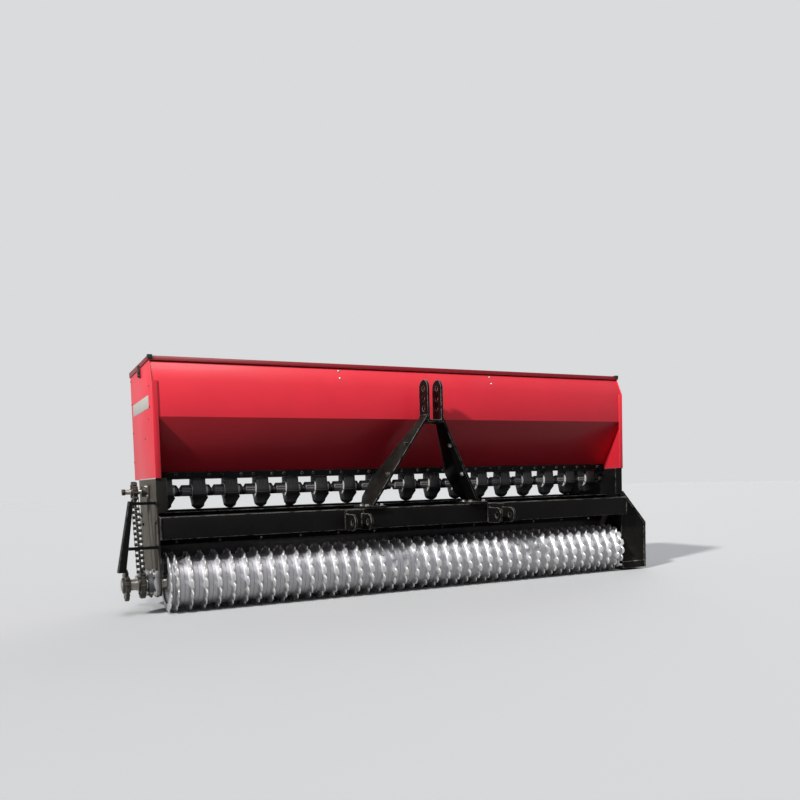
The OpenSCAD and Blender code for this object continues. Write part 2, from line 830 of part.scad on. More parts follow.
// The chain as one loop: two rows of link plates with rollers between them on the free runs
module drive_chain() {
    c0 = [0, front_r];
    c1 = [shaft_y, shaft_z];
    drive_pr = pitch_radius(drive_teeth);
    feed_pr = pitch_radius(feed_teeth);
    d = c1 - c0;
    along = atan2(d[1], d[0]);
    open = acos((drive_pr - feed_pr) / norm(d));
    run = norm(d) * sin(open);
    keep0 = sqrt(pow(drive_pr + link_h / 2 + turn_gap + chain_roller_r, 2) - pow(drive_pr, 2));
    keep1 = sqrt(pow(feed_pr + link_h / 2 + turn_gap + chain_roller_r, 2) - pow(feed_pr, 2));
    count = floor((run - keep0 - keep1) / chain_pitch);
    spare = run - keep0 - keep1 - count * chain_pitch;
    color(steel) {
        for (x0 = [-link_gap / 2 - link_t, link_gap / 2])
            x_prism(x0 - chain_x, x0 + link_t - chain_x) difference() {
                belt(c0, drive_pr + link_h / 2, c1, feed_pr + link_h / 2);
                belt(c0, drive_pr - link_h / 2, c1, feed_pr - link_h / 2);
            }
        for (s = [-1, 1], i = [0 : count]) {
            t = keep0 + spare / 2 + i * chain_pitch;
            foot = c0 + drive_pr * [cos(along + s * open), sin(along + s * open)];
            dir = [cos(along + s * (open - 90)), sin(along + s * (open - 90))];
            p = foot + t * dir;
            x_rod(-chain_x - link_gap / 2, -chain_x + link_gap / 2, p[0], p[1], chain_roller_r, 24);
        }
    }
}

// The slanted folded guard before the chain, on two arms from the end plate
module chain_guard() {
    low_z = front_r + bearing_side / 2 + turn_gap;
    top_x = -plate_out - guard_top_out;
    face_y = guard_t - hopper_front;
    // Place of the folded side's outer face at the height z
    function side_x(z) = -side_out + (z - low_z) / (guard_top - low_z) * (top_x + side_out);
    color(black) {
        y_prism(-hopper_front, face_y)
            polygon([[-side_out, low_z], [guard_low_w - side_out, low_z],
                     [top_x + guard_top_w, guard_top], [top_x, guard_top]]);
        y_prism(-hopper_front, guard_side - hopper_front)
            polygon([[-side_out, low_z], [guard_t - side_out, low_z],
                     [top_x + guard_t, guard_top], [top_x, guard_top]]);
        for (z = [guard_arm_z, guard_top - guard_t - guard_arm_w]) {
            y_prism(face_y - cut, face_y + guard_arm_t)
                polygon([[side_x(z) + guard_t / 2, z], [-plate_out, z], [-plate_out, z + guard_arm_w],
                         [side_x(z + guard_arm_w) + guard_t / 2, z + guard_arm_w]]);
            translate([-plate_out - guard_arm_t, face_y, z])
                cube([guard_arm_t, guard_arm_t + guard_foot, guard_arm_w]);
        }
    }
}

// The folded cover over the bearings at the right-hand end, its front wall set back behind the fold
module drive_cover() {
    rear_y = axle_gap + cover_back;
    shell = [[side_out, cover_low], [side_out, cover_knee], [plate_out, cover_top]];
    color(black) {
        y_prism(-hopper_front, rear_y) intersection() {
            polygon(sheet(shell, guard_t));
            translate([plate_out, cover_low]) square([side_out - plate_out, cover_top]);
        }
        for (y = [cover_lip - hopper_front, rear_y - guard_t])
            y_prism(y, y + guard_t) polygon(concat(shell, [[plate_out, cover_low]]));
        translate([plate_out, cover_lip - hopper_front - cover_band_t, cover_low])
            cube([guard_w, cover_band_t, cover_band_h]);
    }
}

// One leg of the hitch frame: a plate from its foot up to the top-link ears, widest below
module frame_leg(s) {
    wide = hitch_t / sin(atan2(leg_top_z - bar_top, leg_foot_x));
    ear_x = mast_gap / 2 + hitch_t;
    foot_z = bar_top + hitch_t;
    front = leg_step - mast_y - ear_w / 2;
    rear = ear_w / 2 - plate_inset - mast_y;
    color(black) mirror([s > 0 ? 1 : 0, 0, 0]) intersection() {
        y_prism(-bar_front * 2, hopper_front)
            polygon([[-leg_foot_x - wide, foot_z], [-leg_foot_x, foot_z],
                     [-ear_x, leg_top_z - leg_lap], [-ear_x, leg_top_z + leg_lap / 2]]);
        x_prism(-leg_foot_x * 2, 0)
            polygon([[-bar_front, foot_z], [leg_rear_y - leg_heel, foot_z], [leg_rear_y, foot_z + leg_heel],
                     [leg_rear_y, leg_knee_z], [rear, leg_top_z - leg_step],
                     [rear, leg_top_z + leg_step], [front, leg_top_z + leg_step],
                     [front, leg_top_z - leg_step]]);
    }
}

module frame_leg_left() {
    frame_leg(-1);
}

module frame_leg_right() {
    frame_leg(1);
}

// The two top-link ears and the plate that joins them
module mast_head() {
    low = leg_top_z - head_drop;
    color(black) difference() {
        union() {
            for (s = [-1, 1]) {
                x0 = s > 0 ? mast_gap / 2 : -mast_gap / 2 - hitch_t;
                x_prism(x0, x0 + hitch_t) union() {
                    translate([-mast_y, mast_top - ear_w / 2]) circle(ear_w / 2);
                    translate([-mast_y - ear_w / 2, low]) square([ear_w, mast_top - ear_w / 2 - low]);
                }
            }
            translate([-mast_gap / 2, -mast_y - ear_w / 2, low]) cube([mast_gap, ear_w, hitch_t]);
        }
        for (i = [0 : mast_holes - 1])
            x_rod(-mast_gap, mast_gap, -mast_y, mast_hole_z + i * mast_hole_pitch, mast_hole_r);
    }
}

// The plates under the legs on top of the toolbar
module leg_feet() {
    color(black) for (s = [-1, 1])
        translate([s * leg_foot_x - foot_half, -bar_front - foot_front, bar_top])
            cube([2 * foot_half, foot_front + bar_side + foot_back, hitch_t]);
}

// A lower hitch clevis: back plate on the toolbar and two rounded ears
module hitch_clevis(s) {
    x = s * hitch_span / 2;
    color(black) difference() {
        union() {
            for (e = [-1, 1]) {
                x0 = x + (e > 0 ? clevis_gap / 2 : -clevis_gap / 2 - hitch_t);
                x_prism(x0, x0 + hitch_t) union() {
                    translate([clevis_y, hitch_z]) circle(clevis_r);
                    translate([clevis_y, hitch_z - clevis_r]) square([hitch_reach, 2 * clevis_r]);
                }
            }
            translate([x - clevis_gap / 2 - hitch_t, -bar_front - hitch_t, bar_low + plate_inset])
                cube([clevis_gap + 2 * hitch_t, hitch_t, bar_side - 2 * plate_inset]);
        }
        x_rod(x - clevis_gap, x + clevis_gap, clevis_y, hitch_z, hitch_r);
    }
}

module hitch_clevis_left() {
    hitch_clevis(-1);
}

module hitch_clevis_right() {
    hitch_clevis(1);
}

place() end_plate_left();
place() end_plate_right();
place() toolbar();
place() rear_beam();
place() seed_deflector();
place() rear_deflector();
place() hopper_front();
place() hopper_rear();
place() hopper_end_left();
place() hopper_end_right();
place() feed_channel();
place() hopper_stays();
place() lid();
place() lid_hinges();
place() metering_cups();
place() cup_flanges();
place() fluted_rollers();
place() feed_shaft();
place() feed_bearings();
place() front_rings();
place() front_axle();
place() front_bearings();
place() rear_rings();
place() rear_axle();
place() rear_bearings();
place() drive_sprocket();
place() feed_sprocket();
place() rate_knob();
place() drive_chain();
place() chain_guard();
place() drive_cover();
place() frame_leg_left();
place() frame_leg_right();
place() mast_head();
place() leg_feet();
place() hitch_clevis_left();
place() hitch_clevis_right();
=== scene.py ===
"""Looks of a three-point hitch seed drill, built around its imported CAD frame.

The drill stands on two rollers of notched cast rings. Each sub-assembly is a class: its sizes are
in millimetres in the machine's own frame, with x = 0 in the middle, y = 0 over the front axle and
z = 0 on the ground.
"""

from __future__ import annotations

import json
import logging
import math
import random
from dataclasses import dataclass, field
from enum import Enum
from typing import Iterable, Sequence

import bpy
from mathutils import Matrix, Vector

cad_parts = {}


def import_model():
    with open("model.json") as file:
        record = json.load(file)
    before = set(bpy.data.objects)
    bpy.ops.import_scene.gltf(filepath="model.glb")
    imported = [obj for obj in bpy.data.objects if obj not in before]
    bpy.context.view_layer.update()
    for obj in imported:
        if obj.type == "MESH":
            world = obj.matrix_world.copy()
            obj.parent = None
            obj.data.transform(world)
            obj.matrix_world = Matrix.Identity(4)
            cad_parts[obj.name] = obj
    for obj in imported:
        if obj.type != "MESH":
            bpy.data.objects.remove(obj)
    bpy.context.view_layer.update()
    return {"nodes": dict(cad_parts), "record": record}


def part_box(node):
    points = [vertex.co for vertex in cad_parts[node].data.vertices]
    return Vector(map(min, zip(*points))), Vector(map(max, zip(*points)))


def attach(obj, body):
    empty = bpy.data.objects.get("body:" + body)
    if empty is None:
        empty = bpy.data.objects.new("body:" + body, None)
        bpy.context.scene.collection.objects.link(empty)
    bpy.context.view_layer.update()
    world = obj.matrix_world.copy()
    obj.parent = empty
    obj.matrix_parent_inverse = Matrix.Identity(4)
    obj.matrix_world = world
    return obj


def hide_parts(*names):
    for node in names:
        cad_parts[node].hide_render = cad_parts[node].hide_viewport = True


LOG = logging.getLogger("seed_drill")
# Two numbers place a corner in a plane or a profile, three give a place or a direction.
Pair = tuple[float, float]
Point = tuple[float, float, float]
MM = 0.001
# The row frame's origin lies this far behind the front axle, in the machine's millimetres.
MID_Y = 154.5
# What is copied about is made at the row frame's origin.
ORIGIN: Point = (0.0, MID_Y, 0.0)
LEFT: Point = (-1, 0, 0)
RIGHT: Point = (1, 0, 0)
FRONT: Point = (0, -1, 0)
REAR: Point = (0, 1, 0)
UP: Point = (0, 0, 1)
# A ring's radius over its crest and in its valley: the drill stands on the crests.
FRONT_TIP = 139.0
FRONT_BASE = 112.0
REAR_TIP = 115.0
REAR_BASE = 92.0
RING_PITCH = 63.5
# Where the shafts lie, as (y, z).
FRONT_AXLE: Pair = (0.0, FRONT_TIP)
REAR_AXLE: Pair = (268.0, REAR_TIP)
FEED_SHAFT: Pair = (111.0, 554.0)
CUP_PITCH = 153.97
# The cups left of the middle one stand this much further out, to clear the centre bearing.
BEARING_GAP = 40
# Heights of the toolbar's top and of the feet's top on it, and the middle of a stay.
BAR_TOP = 440
FOOT_TOP = 452
STAY_X = 590


class Axis(Enum):
    """The direction along which a piece is turned or extruded."""

    X = 0
    Y = 1
    Z = 2


def at(x: float, y: float, z: float) -> Vector:
    """Turns millimetres in the machine's frame into metres in the row frame.

    Args:
        x: Millimetres along the rollers.
        y: Millimetres behind the front axle.
        z: Millimetres above the ground.

    Returns:
        The point in the row frame.
    """
    return Vector((x * MM, (y - MID_Y) * MM, z * MM))


def span(node: str) -> tuple[Vector, Vector]:
    """Measures a CAD node in the machine's millimetres.

    Args:
        node: The node's name.

    Returns:
        Its lowest and highest corners.
    """
    low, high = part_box(node)
    back = Vector((0, MID_Y, 0))
    return low / MM + back, high / MM + back


def linear(colour: str) -> tuple[float, float, float, float]:
    """Turns an sRGB hex colour into the linear values that a socket takes.

    Args:
        colour: A colour such as "#E42D3C".

    Returns:
        Red, green, blue and alpha.
    """
    parts = [int(colour[i : i + 2], 16) / 255 for i in (1, 3, 5)]
    r, g, b = [p / 12.92 if p <= 0.04045 else ((p + 0.055) / 1.055) ** 2.4 for p in parts]
    return (r, g, b, 1.0)


# Bench work with operators


def only(*pieces: bpy.types.Object) -> None:
    """Selects these pieces alone and makes the first one active.

    Args:
        *pieces: The pieces to select.
    """
    bpy.ops.object.select_all(action="DESELECT")
    for piece in pieces:
        piece.select_set(True)
    bpy.context.view_layer.objects.active = pieces[0]


def named(name: str) -> bpy.types.Object:
    """Names the active piece and its mesh.

    Args:
        name: The new name.

    Returns:
        The active piece.
    """
    piece = bpy.context.object
    piece.name = name
    piece.data.name = name
    return piece


def settle(piece: bpy.types.Object) -> bpy.types.Object:
    """Puts the piece's place into its mesh, so that its object sits at the origin.

    Args:
        piece: The piece, moved, turned or scaled as an object.

    Returns:
        The same piece.
    """
    only(piece)
    bpy.ops.object.transform_apply(location=True, rotation=True, scale=True)
    return piece


def eased(piece: bpy.types.Object, width: float) -> bpy.types.Object:
    """Rounds the piece's edges that are sharper than 30 degrees.

    Args:
        piece: The piece, whose faces meet without gaps.
        width: Width of the rounding in millimetres.

    Returns:
        The same piece.
    """
    only(piece)
    bevel = piece.modifiers.new("eased", "BEVEL")
    bevel.width = width * MM
    bevel.segments = 2
    bevel.limit_method = "ANGLE"
    bevel.angle_limit = math.radians(30)
    bpy.ops.object.modifier_apply(modifier=bevel.name)
    bpy.ops.object.shade_smooth_by_angle(angle=math.radians(38))
    return piece


def block(name: str, low: Point, high: Point, ease: float = 1.0) -> bpy.types.Object:
    """A bar or pad between two corners, with its edges eased.

    Args:
        name: The piece's name.
        low: The lowest corner in millimetres.
        high: The highest corner in millimetres.
        ease: Width of the rounding in millimetres.

    Returns:
        The piece.
    """
    a, b = at(*low), at(*high)
    bpy.ops.mesh.primitive_cube_add(size=1, location=(a + b) / 2, scale=b - a)
    return eased(settle(named(name)), ease)


def side_block(name: str, side: int, low: Point, high: Point, ease: float = 1.0) -> bpy.types.Object:
    """A block at either end of the machine, by its corners at the right end.

    Args:
        name: The piece's name.
        side: 1 for the right end, -1 for its mirror image at the left end.
        low: The lowest corner at the right end in millimetres.
        high: The highest corner at the right end.
        ease: Width of the rounding in millimetres.

    Returns:
        The piece.
    """
    near, far = sorted((side * low[0], side * high[0]))
    return block(name, (near, *low[1:]), (far, *high[1:]), ease)


def turned(
    name: str,
    centre: Point,
    profile: Sequence[Pair],
    axis: Axis = Axis.X,
    steps: int = 32,
    capped: bool = True,
) -> bpy.types.Object:
    """A turned piece: a circle extruded and scaled along its profile.

    Args:
        name: The piece's name.
        centre: The origin of the profile in millimetres.
        profile: Pairs of place along the axis and radius, in millimetres.
        axis: The axis of the lathe.
        steps: Corners of the circle.
        capped: True to close both ends.

    Returns:
        The piece, with its normals outwards.
    """
    middle = at(*centre)
    along = Vector([1.0 if i == axis.value else 0.0 for i in range(3)])
    turn = {Axis.X: (0, math.pi / 2, 0), Axis.Y: (math.pi / 2, 0, 0), Axis.Z: (0, 0, 0)}[axis]
    place, radius = profile[0]
    bpy.ops.object.select_all(action="DESELECT")
    bpy.ops.mesh.primitive_circle_add(
        vertices=steps, radius=radius * MM, location=middle + along * place * MM, rotation=turn,
        fill_type="NGON" if capped else "NOTHING",
    )
    piece = settle(named(name))
    bpy.ops.object.mode_set(mode="EDIT")
    bpy.ops.mesh.select_mode(type="EDGE")
    bpy.ops.mesh.select_all(action="SELECT")
    for new_place, new_radius in profile[1:]:
        move = {"value": along * (new_place - place) * MM}
        if capped:
            bpy.ops.mesh.extrude_region_move(TRANSFORM_OT_translate=move)
        else:
            bpy.ops.mesh.extrude_edges_move(TRANSFORM_OT_translate=move)
        if abs(new_radius - radius) > 1e-6:
            factor = new_radius / radius
            scale = [1.0 if i == axis.value else factor for i in range(3)]
            bpy.ops.transform.resize(value=scale, center_override=middle + along * new_place * MM)
        place, radius = new_place, new_radius
    bpy.ops.mesh.select_all(action="SELECT")
    if capped:
        bpy.ops.mesh.normals_make_consistent(inside=False)
    bpy.ops.object.mode_set(mode="OBJECT")
    bpy.ops.object.shade_smooth_by_angle(angle=math.radians(38))
    return piece


def ringed(name: str, centre: Point, profile: Sequence[Pair], steps: int = 32) -> bpy.types.Object:
    """A turned ring along the machine: a closed profile swept round its axis.

    Args:
        name: The piece's name.
        centre: The origin of the profile in millimetres.
        profile: Corners as place along the axis and radius, in millimetres.
        steps: Corners round the axis.

    Returns:
        The piece, with its normals outwards.
    """
    piece = turned(name, centre, [*profile, profile[0]], Axis.X, steps, capped=False)
    bpy.ops.object.mode_set(mode="EDIT")
    bpy.ops.mesh.select_all(action="SELECT")
    bpy.ops.mesh.remove_doubles(threshold=0.00001)
    bpy.ops.mesh.normals_make_consistent(inside=False)
    bpy.ops.object.mode_set(mode="OBJECT")
    return piece


def cut_plate(
    name: str,
    outline: Sequence[Pair],
    axis: Axis,
    low: float,
    high: float,
    ease: float = 1.0,
) -> bpy.types.Object:
    """A flat plate: a filled outline with one corner for each point, extruded to its thickness.

    Args:
        name: The piece's name.
        outline: The corners in the plate's plane: (y, z), (x, z) or (x, y) by its axis.
        axis: The axis across the plate.
        low: Where the plate begins along the axis, in millimetres.
        high: Where the plate ends along the axis.
        ease: Width of the rounding in millimetres.

    Returns:
        The piece.
    """
    bpy.ops.object.select_all(action="DESELECT")
    bpy.ops.mesh.primitive_circle_add(vertices=len(outline), radius=MM, fill_type="NGON")
    piece = named(name)
    for vertex, (a, b) in zip(piece.data.vertices, outline):
        corner = [a, b]
        corner.insert(axis.value, low)
        vertex.co = at(*corner)
    along = Vector([(high - low) * MM if i == axis.value else 0.0 for i in range(3)])
    bpy.ops.object.mode_set(mode="EDIT")
    bpy.ops.mesh.select_all(action="SELECT")
    bpy.ops.mesh.extrude_region_move(TRANSFORM_OT_translate={"value": along})
    bpy.ops.mesh.select_all(action="SELECT")
    bpy.ops.mesh.normals_make_consistent(inside=False)
    bpy.ops.object.mode_set(mode="OBJECT")
    return eased(piece, ease)


def bent_rod(name: str, points: Sequence[Point], radius: float, bend: float) -> bpy.types.Object:
    """A round rod or wire bent along a line of points.

    Args:
        name: The piece's name.
        points: The corners of its centreline in millimetres.
        radius: The rod's radius in millimetres.
        bend: How far from each corner the bend begins, in millimetres.

    Returns:
        The rod as a mesh.
    """
    bpy.ops.object.select_all(action="DESELECT")
    bpy.ops.mesh.primitive_plane_add(size=MM)
    piece = named(name)
    only(piece)
    bpy.ops.object.mode_set(mode="EDIT")
    bpy.ops.mesh.select_mode(type="VERT")
    bpy.ops.mesh.select_all(action="SELECT")
    bpy.ops.mesh.merge(type="CENTER")
    bpy.ops.transform.translate(value=at(*points[0]))
    path = rounded(points, bend)
    for a, b in zip(path, path[1:]):
        bpy.ops.mesh.extrude_vertices_move(TRANSFORM_OT_translate={"value": b - a})
    bpy.ops.object.mode_set(mode="OBJECT")
    bpy.ops.object.convert(target="CURVE")
    piece.data.bevel_depth = radius * MM
    piece.data.bevel_resolution = 3
    piece.data.use_fill_caps = True
    bpy.ops.object.convert(target="MESH")
    bpy.ops.object.shade_smooth_by_angle(angle=math.radians(50))
    return piece


def rounded(points: Sequence[Point], bend: float) -> list[Vector]:
    """The points of a line in metres, with each inner corner replaced by a short curve.

    Args:
        points: The corners in millimetres.
        bend: How far from each corner its curve begins, in millimetres.

    Returns:
        The points of the rounded line in the row frame.
    """
    corners = [at(*p) for p in points]
    line = [corners[0]]
    for before, corner, after in zip(corners, corners[1:], corners[2:]):
        a = corner + (before - corner).normalized() * bend * MM
        b = corner + (after - corner).normalized() * bend * MM
        for t in (0.0, 0.25, 0.5, 0.75, 1.0):
            line.append(a * (1 - t) ** 2 + corner * 2 * t * (1 - t) + b * t * t)
    line.append(corners[-1])
    return line


def copied(piece: bpy.types.Object, place: Matrix) -> bpy.types.Object:
    """Copies the piece, each copy with its own mesh.

    Args:
        piece: The piece to copy.
        place: The move that is put into the copy's mesh.

    Returns:
        The copy.
    """
    twin = piece.copy()
    twin.data = piece.data.copy()
    twin.data.transform(place)
    twin.name = "copy"
    bpy.context.scene.collection.objects.link(twin)
    return twin


def joined(name: str, pieces: Iterable[bpy.types.Object]) -> bpy.types.Object:
    """Joins pieces into one object.

    Args:
        name: The joined object's name.
        pieces: The pieces, which are used up.

    Returns:
        The joined object.
    """
    parts = list(pieces)
    only(*parts)
    if len(parts) > 1:
        bpy.ops.object.join()
    return named(name)


def repeated(name: str, piece: bpy.types.Object, places: Iterable[Matrix]) -> bpy.types.Object:
    """Copies the piece to every place and joins the copies.

    Args:
        name: The joined object's name.
        piece: The piece to repeat, which is used up.
        places: The move to each place.

    Returns:
        The joined object.
    """
    twins = [copied(piece, place) for place in places]
    bpy.data.objects.remove(piece)
    return joined(name, twins)


def shift(x: float) -> Matrix:
    """A move along the rollers by so many millimetres."""
    return Matrix.Translation((x * MM, 0, 0))


def facing(point: Point, direction: Point | Vector, turn: float = 0.0) -> Matrix:
    """Places something made along +Z at the row frame's origin at a point, facing a direction.

    Args:
        point: The place in millimetres in the machine's frame.
        direction: Where its +Z goes.
        turn: Degrees that it is turned about its own axis first.

    Returns:
        The matrix.
    """
    tilt = Vector(direction).to_track_quat("Z", "Y").to_matrix().to_4x4()
    return Matrix.Translation(at(*point)) @ tilt @ Matrix.Rotation(math.radians(turn), 4, "Z")


# Finishes


def add_node(
    tree: bpy.types.NodeTree, kind: str, inputs: dict[str | int, object] | None = None, **settings: object
) -> bpy.types.Node:
    """Adds a node with its settings and inputs.

    Args:
        tree: The material's node tree.
        kind: The node's type name without "ShaderNode".
        inputs: By the input's name or number: a socket to join, a hex colour or a constant.
        **settings: The node's own properties.

    Returns:
        The node.
    """
    node = tree.nodes.new("ShaderNode" + kind)
    for key, value in settings.items():
        setattr(node, key, value)
    put(tree, node, inputs or {})
    return node


def put(tree: bpy.types.NodeTree, node: bpy.types.Node, inputs: dict[str | int, object]) -> None:
    """Joins or sets a node's inputs.

    Args:
        tree: The node tree.
        node: The node.
        inputs: By the input's name or number: a socket to join, a hex colour or a constant.
    """
    for key, value in inputs.items():
        if isinstance(value, bpy.types.NodeSocket):
            tree.links.new(value, node.inputs[key])
        else:
            node.inputs[key].default_value = linear(value) if isinstance(value, str) else value


class Mix:
    """A material being mixed: its tree, its shader and the object's own coordinates."""

    def __init__(self, name: str) -> None:
        """Starts an empty material.

        Args:
            name: The material's name.
        """
        self.made = bpy.data.materials.new(name)
        self.made.use_nodes = True
        self.tree = self.made.node_tree
        self.shader = self.tree.nodes["Principled BSDF"]
        self.place = add_node(self.tree, "TexCoord").outputs["Object"]

    def noise(
        self, size: float, detail: float = 4.0, place: bpy.types.NodeSocket | None = None
    ) -> bpy.types.NodeSocket:
        """Clouds this many millimetres across."""
        inputs = {"Scale": 1000 / size, "Detail": detail, "Roughness": 0.62, "Vector": place or self.place}
        return add_node(self.tree, "TexNoise", inputs).outputs["Fac"]

    def ramp(
        self, value: bpy.types.NodeSocket, low: float, high: float, start: float = 0, end: float = 1
    ) -> bpy.types.NodeSocket:
        """Maps a value between low and high to one between start and end."""
        inputs = {"From Min": low, "From Max": high, "To Min": start, "To Max": end, "Value": value}
        return add_node(self.tree, "MapRange", inputs).outputs["Result"]

    def maths(self, operation: str, first: object, second: object) -> bpy.types.NodeSocket:
        """Joins two values by an operation."""
        return add_node(self.tree, "Math", {0: first, 1: second}, operation=operation).outputs["Value"]

    def vector(self, operation: str, first: object, second: object = (0, 0, 0)) -> bpy.types.Node:
        """A vector operation on two vectors, as a node with its Vector and Value outputs."""
        return add_node(self.tree, "VectorMath", {0: first, 1: second}, operation=operation)

    def along(self, vector: bpy.types.NodeSocket, axis: Axis) -> bpy.types.NodeSocket:
        """The part of a vector along one axis."""
        return add_node(self.tree, "SeparateXYZ", {"Vector": vector}).outputs[axis.name]

    def blend(self, share: object, first: object, second: object) -> bpy.types.NodeSocket:
        """Mixes two colours, each a socket or a hex colour, by a share of the second."""
        inputs = {"Fac": share, "Color1": first, "Color2": second}
        return add_node(self.tree, "MixRGB", inputs).outputs["Color"]

    def bump(self, height: bpy.types.NodeSocket, strength: float) -> bpy.types.NodeSocket:
        """The normal over a relief of up to one millimetre."""
        inputs = {"Height": height, "Strength": strength, "Distance": MM}
        return add_node(self.tree, "Bump", inputs).outputs["Normal"]

    def finished(self, inputs: dict[str, object]) -> bpy.types.Material:
        """Joins the shader's inputs and returns the material."""
        put(self.tree, self.shader, inputs)
        return self.made


@dataclass(frozen=True)
class Enamel:
    """Machine enamel sprayed on sheet steel and plate.

    The eye sees an even colour with a faint orange peel, soft patches where the coat is thicker,
    dust on faces that look up and low down on the machine, a film on the faces that look sideways
    that is partly dust and partly a painted sheen of the low side light, and rubbed edges.
    """

    name: str
    slot: str
    colour: str
    roughness: float
    coat: float
    dust: float
    # Share of the film on sideways faces: partly dust, partly a painted sheen of the side light.
    side_film_and_sheen: float
    rubbed: float
    # Colour of the dust, and of the painted sheen on sideways faces.
    dust_and_sheen_colour: str = "#8C8272"
    rubbed_colour: str = "#8A857E"
    gloss: float = 0.5

    def material(self) -> bpy.types.Material:
        """Mixes the enamel.

        Returns:
            The material, on the object's own coordinates.
        """
        mix = Mix(self.name)
        # Thickness of the coat: patches about 300 mm across, 5 % lighter or darker.
        tone = mix.ramp(mix.noise(300, 3), 0.3, 0.7, 0.95, 1.05)
        body = add_node(mix.tree, "HueSaturation", {"Color": self.colour, "Value": tone}).outputs["Color"]
        # Dust: grains about 8 mm apart in drifts of 140 mm, drawn coarser than real so that they show.
        cloud = mix.maths("MULTIPLY", mix.noise(8, 5), mix.noise(140))
        normal = add_node(mix.tree, "NewGeometry").outputs["Normal"]
        up = mix.ramp(mix.along(normal, Axis.Z), 0.1, 1.0, 0.06, 1.0)
        low_down = mix.ramp(mix.along(mix.place, Axis.Z), 0.5, 0.0, 0.0, 0.4)
        level = mix.maths("MAXIMUM", up, low_down)
        loose = mix.maths("MULTIPLY", mix.ramp(cloud, 0.16, 0.4, 0.0, self.dust), level)
        # An even film, drifting over 60 mm, on the faces that look sideways: partly dust, partly a painted
        # sheen of the low side light.
        side = mix.ramp(mix.maths("ABSOLUTE", mix.along(normal, Axis.X), 0.0), 0.5, 0.95, 0.15, 1.0)
        side_film_and_sheen = mix.ramp(mix.noise(60), 0.3, 0.7, self.side_film_and_sheen * 0.6, self.side_film_and_sheen * 1.4)
        dusty = mix.maths("ADD", loose, mix.maths("MULTIPLY", side, side_film_and_sheen))
        # Rubbed edges: where the rounded normal leaves the face's own, broken up by 25 mm patches.
        soft = add_node(mix.tree, "Bevel", {"Radius": 0.004}, samples=4).outputs["Normal"]
        edge = mix.ramp(mix.vector("DOT_PRODUCT", soft, normal).outputs["Value"], 0.995, 0.9)
        worn = mix.maths("MULTIPLY", edge, mix.ramp(mix.noise(25), 0.4, 0.58, 0.0, self.rubbed))
        # The loose dust and the side film, which is partly painted sheen, take the dust colour; rubbed
        # edges go over them.
        colour = mix.blend(worn, mix.blend(dusty, body, self.dust_and_sheen_colour), self.rubbed_colour)
        return mix.finished({
            "Base Color": colour,
            "Roughness": mix.ramp(dusty, 0.0, 1.0, self.roughness, 0.9),
            # Orange peel: dimples about 3 mm across.
            "Normal": mix.bump(mix.noise(3, 1), 0.04),
            "Specular IOR Level": self.gloss,
            "Coat Weight": self.coat,
            "Coat Roughness": 0.12,
        })


@dataclass(frozen=True)
class CastRing:
    """Ring iron, cast, galvanised, and worn bright where the crests press into the soil.

    The eye sees pale silver crests over slightly darker, lilac-grey valleys with a cast grain.
    The step from valley to crest is partly that wear and partly painted light: a painted
    highlight on the crests and painted shade in the valleys.
    """

    name: str
    slot: str
    axle: Pair
    base: float
    tip: float
    # Valley and crest colours: part of the step between them is painted shade in the valleys and a painted
    # highlight on the crests.
    valley: str = "#B6B4B7"
    crest: str = "#D6D6D3"
    soil: str = "#86807A"

    def material(self) -> bpy.types.Material:
        """Mixes the finish from the distance to the roller's axle.

        Returns:
            The material, on the object's own coordinates.
        """
        mix = Mix(self.name)
        centre = at(0, *self.axle)
        local = add_node(mix.tree, "Mapping", {"Location": (0, -centre.y, -centre.z), "Vector": mix.place})
        across = mix.vector("MULTIPLY", local.outputs["Vector"], (0, 1, 1))
        radius = mix.vector("LENGTH", across.outputs["Vector"]).outputs["Value"]
        # Stains about 16 mm across wander over the edge between the bright crest and the valley.
        mottle = mix.noise(16, 5)
        reach = mix.maths("ADD", radius, mix.ramp(mottle, 0.35, 0.65, -0.006, 0.006))
        # Crest colour by radius: partly the worn crest, partly a painted highlight on the crests and
        # painted shade in the valleys.
        bright = mix.ramp(reach, (self.base + 3) * MM, (self.tip - 5) * MM)
        dirty = mix.blend(mix.ramp(mottle, 0.5, 0.75, 0.0, 0.5), self.valley, self.soil)
        return mix.finished({
            "Base Color": mix.blend(bright, dirty, self.crest),
            "Roughness": mix.ramp(bright, 0.0, 1.0, 0.52, 0.4),
            # Sand-cast grain about 3 mm across.
            "Normal": mix.bump(mix.noise(3), 0.3),
            "Metallic": mix.ramp(bright, 0.0, 1.0, 0.78, 0.75),
        })


@dataclass(frozen=True)
class Steel:
    """Bare or plated steel: drawn bar, chain plate or a zinc-plated bolt.

    The eye sees a metal reflection broken by fine drawing lines, with oil or rust in patches.
    """

    name: str
    slot: str
    colour: str
    stain: str
    stained: float
    roughness: float

    def material(self) -> bpy.types.Material:
        """Mixes the steel.

        Returns:
            The material, on the object's own coordinates.
        """
        mix = Mix(self.name)
        # Patches of oil or rust about 30 mm across.
        share = mix.ramp(mix.noise(30, 6), 0.45, 0.7, 0.0, self.stained)
        # Drawing lines along the bar, 1.5 mm apart, drawn coarser than real so that they show.
        long = add_node(mix.tree, "Mapping", {"Scale": (0.012, 1.0, 1.0), "Vector": mix.place})
        return mix.finished({
            "Base Color": mix.blend(share, self.colour, self.stain),
            "Roughness": mix.ramp(share, 0.0, 1.0, self.roughness, 0.75),
            "Metallic": mix.ramp(share, 0.0, 1.0, 1.0, 0.3),
            "Normal": mix.bump(mix.noise(1.5, 2, long.outputs["Vector"]), 0.12),
        })


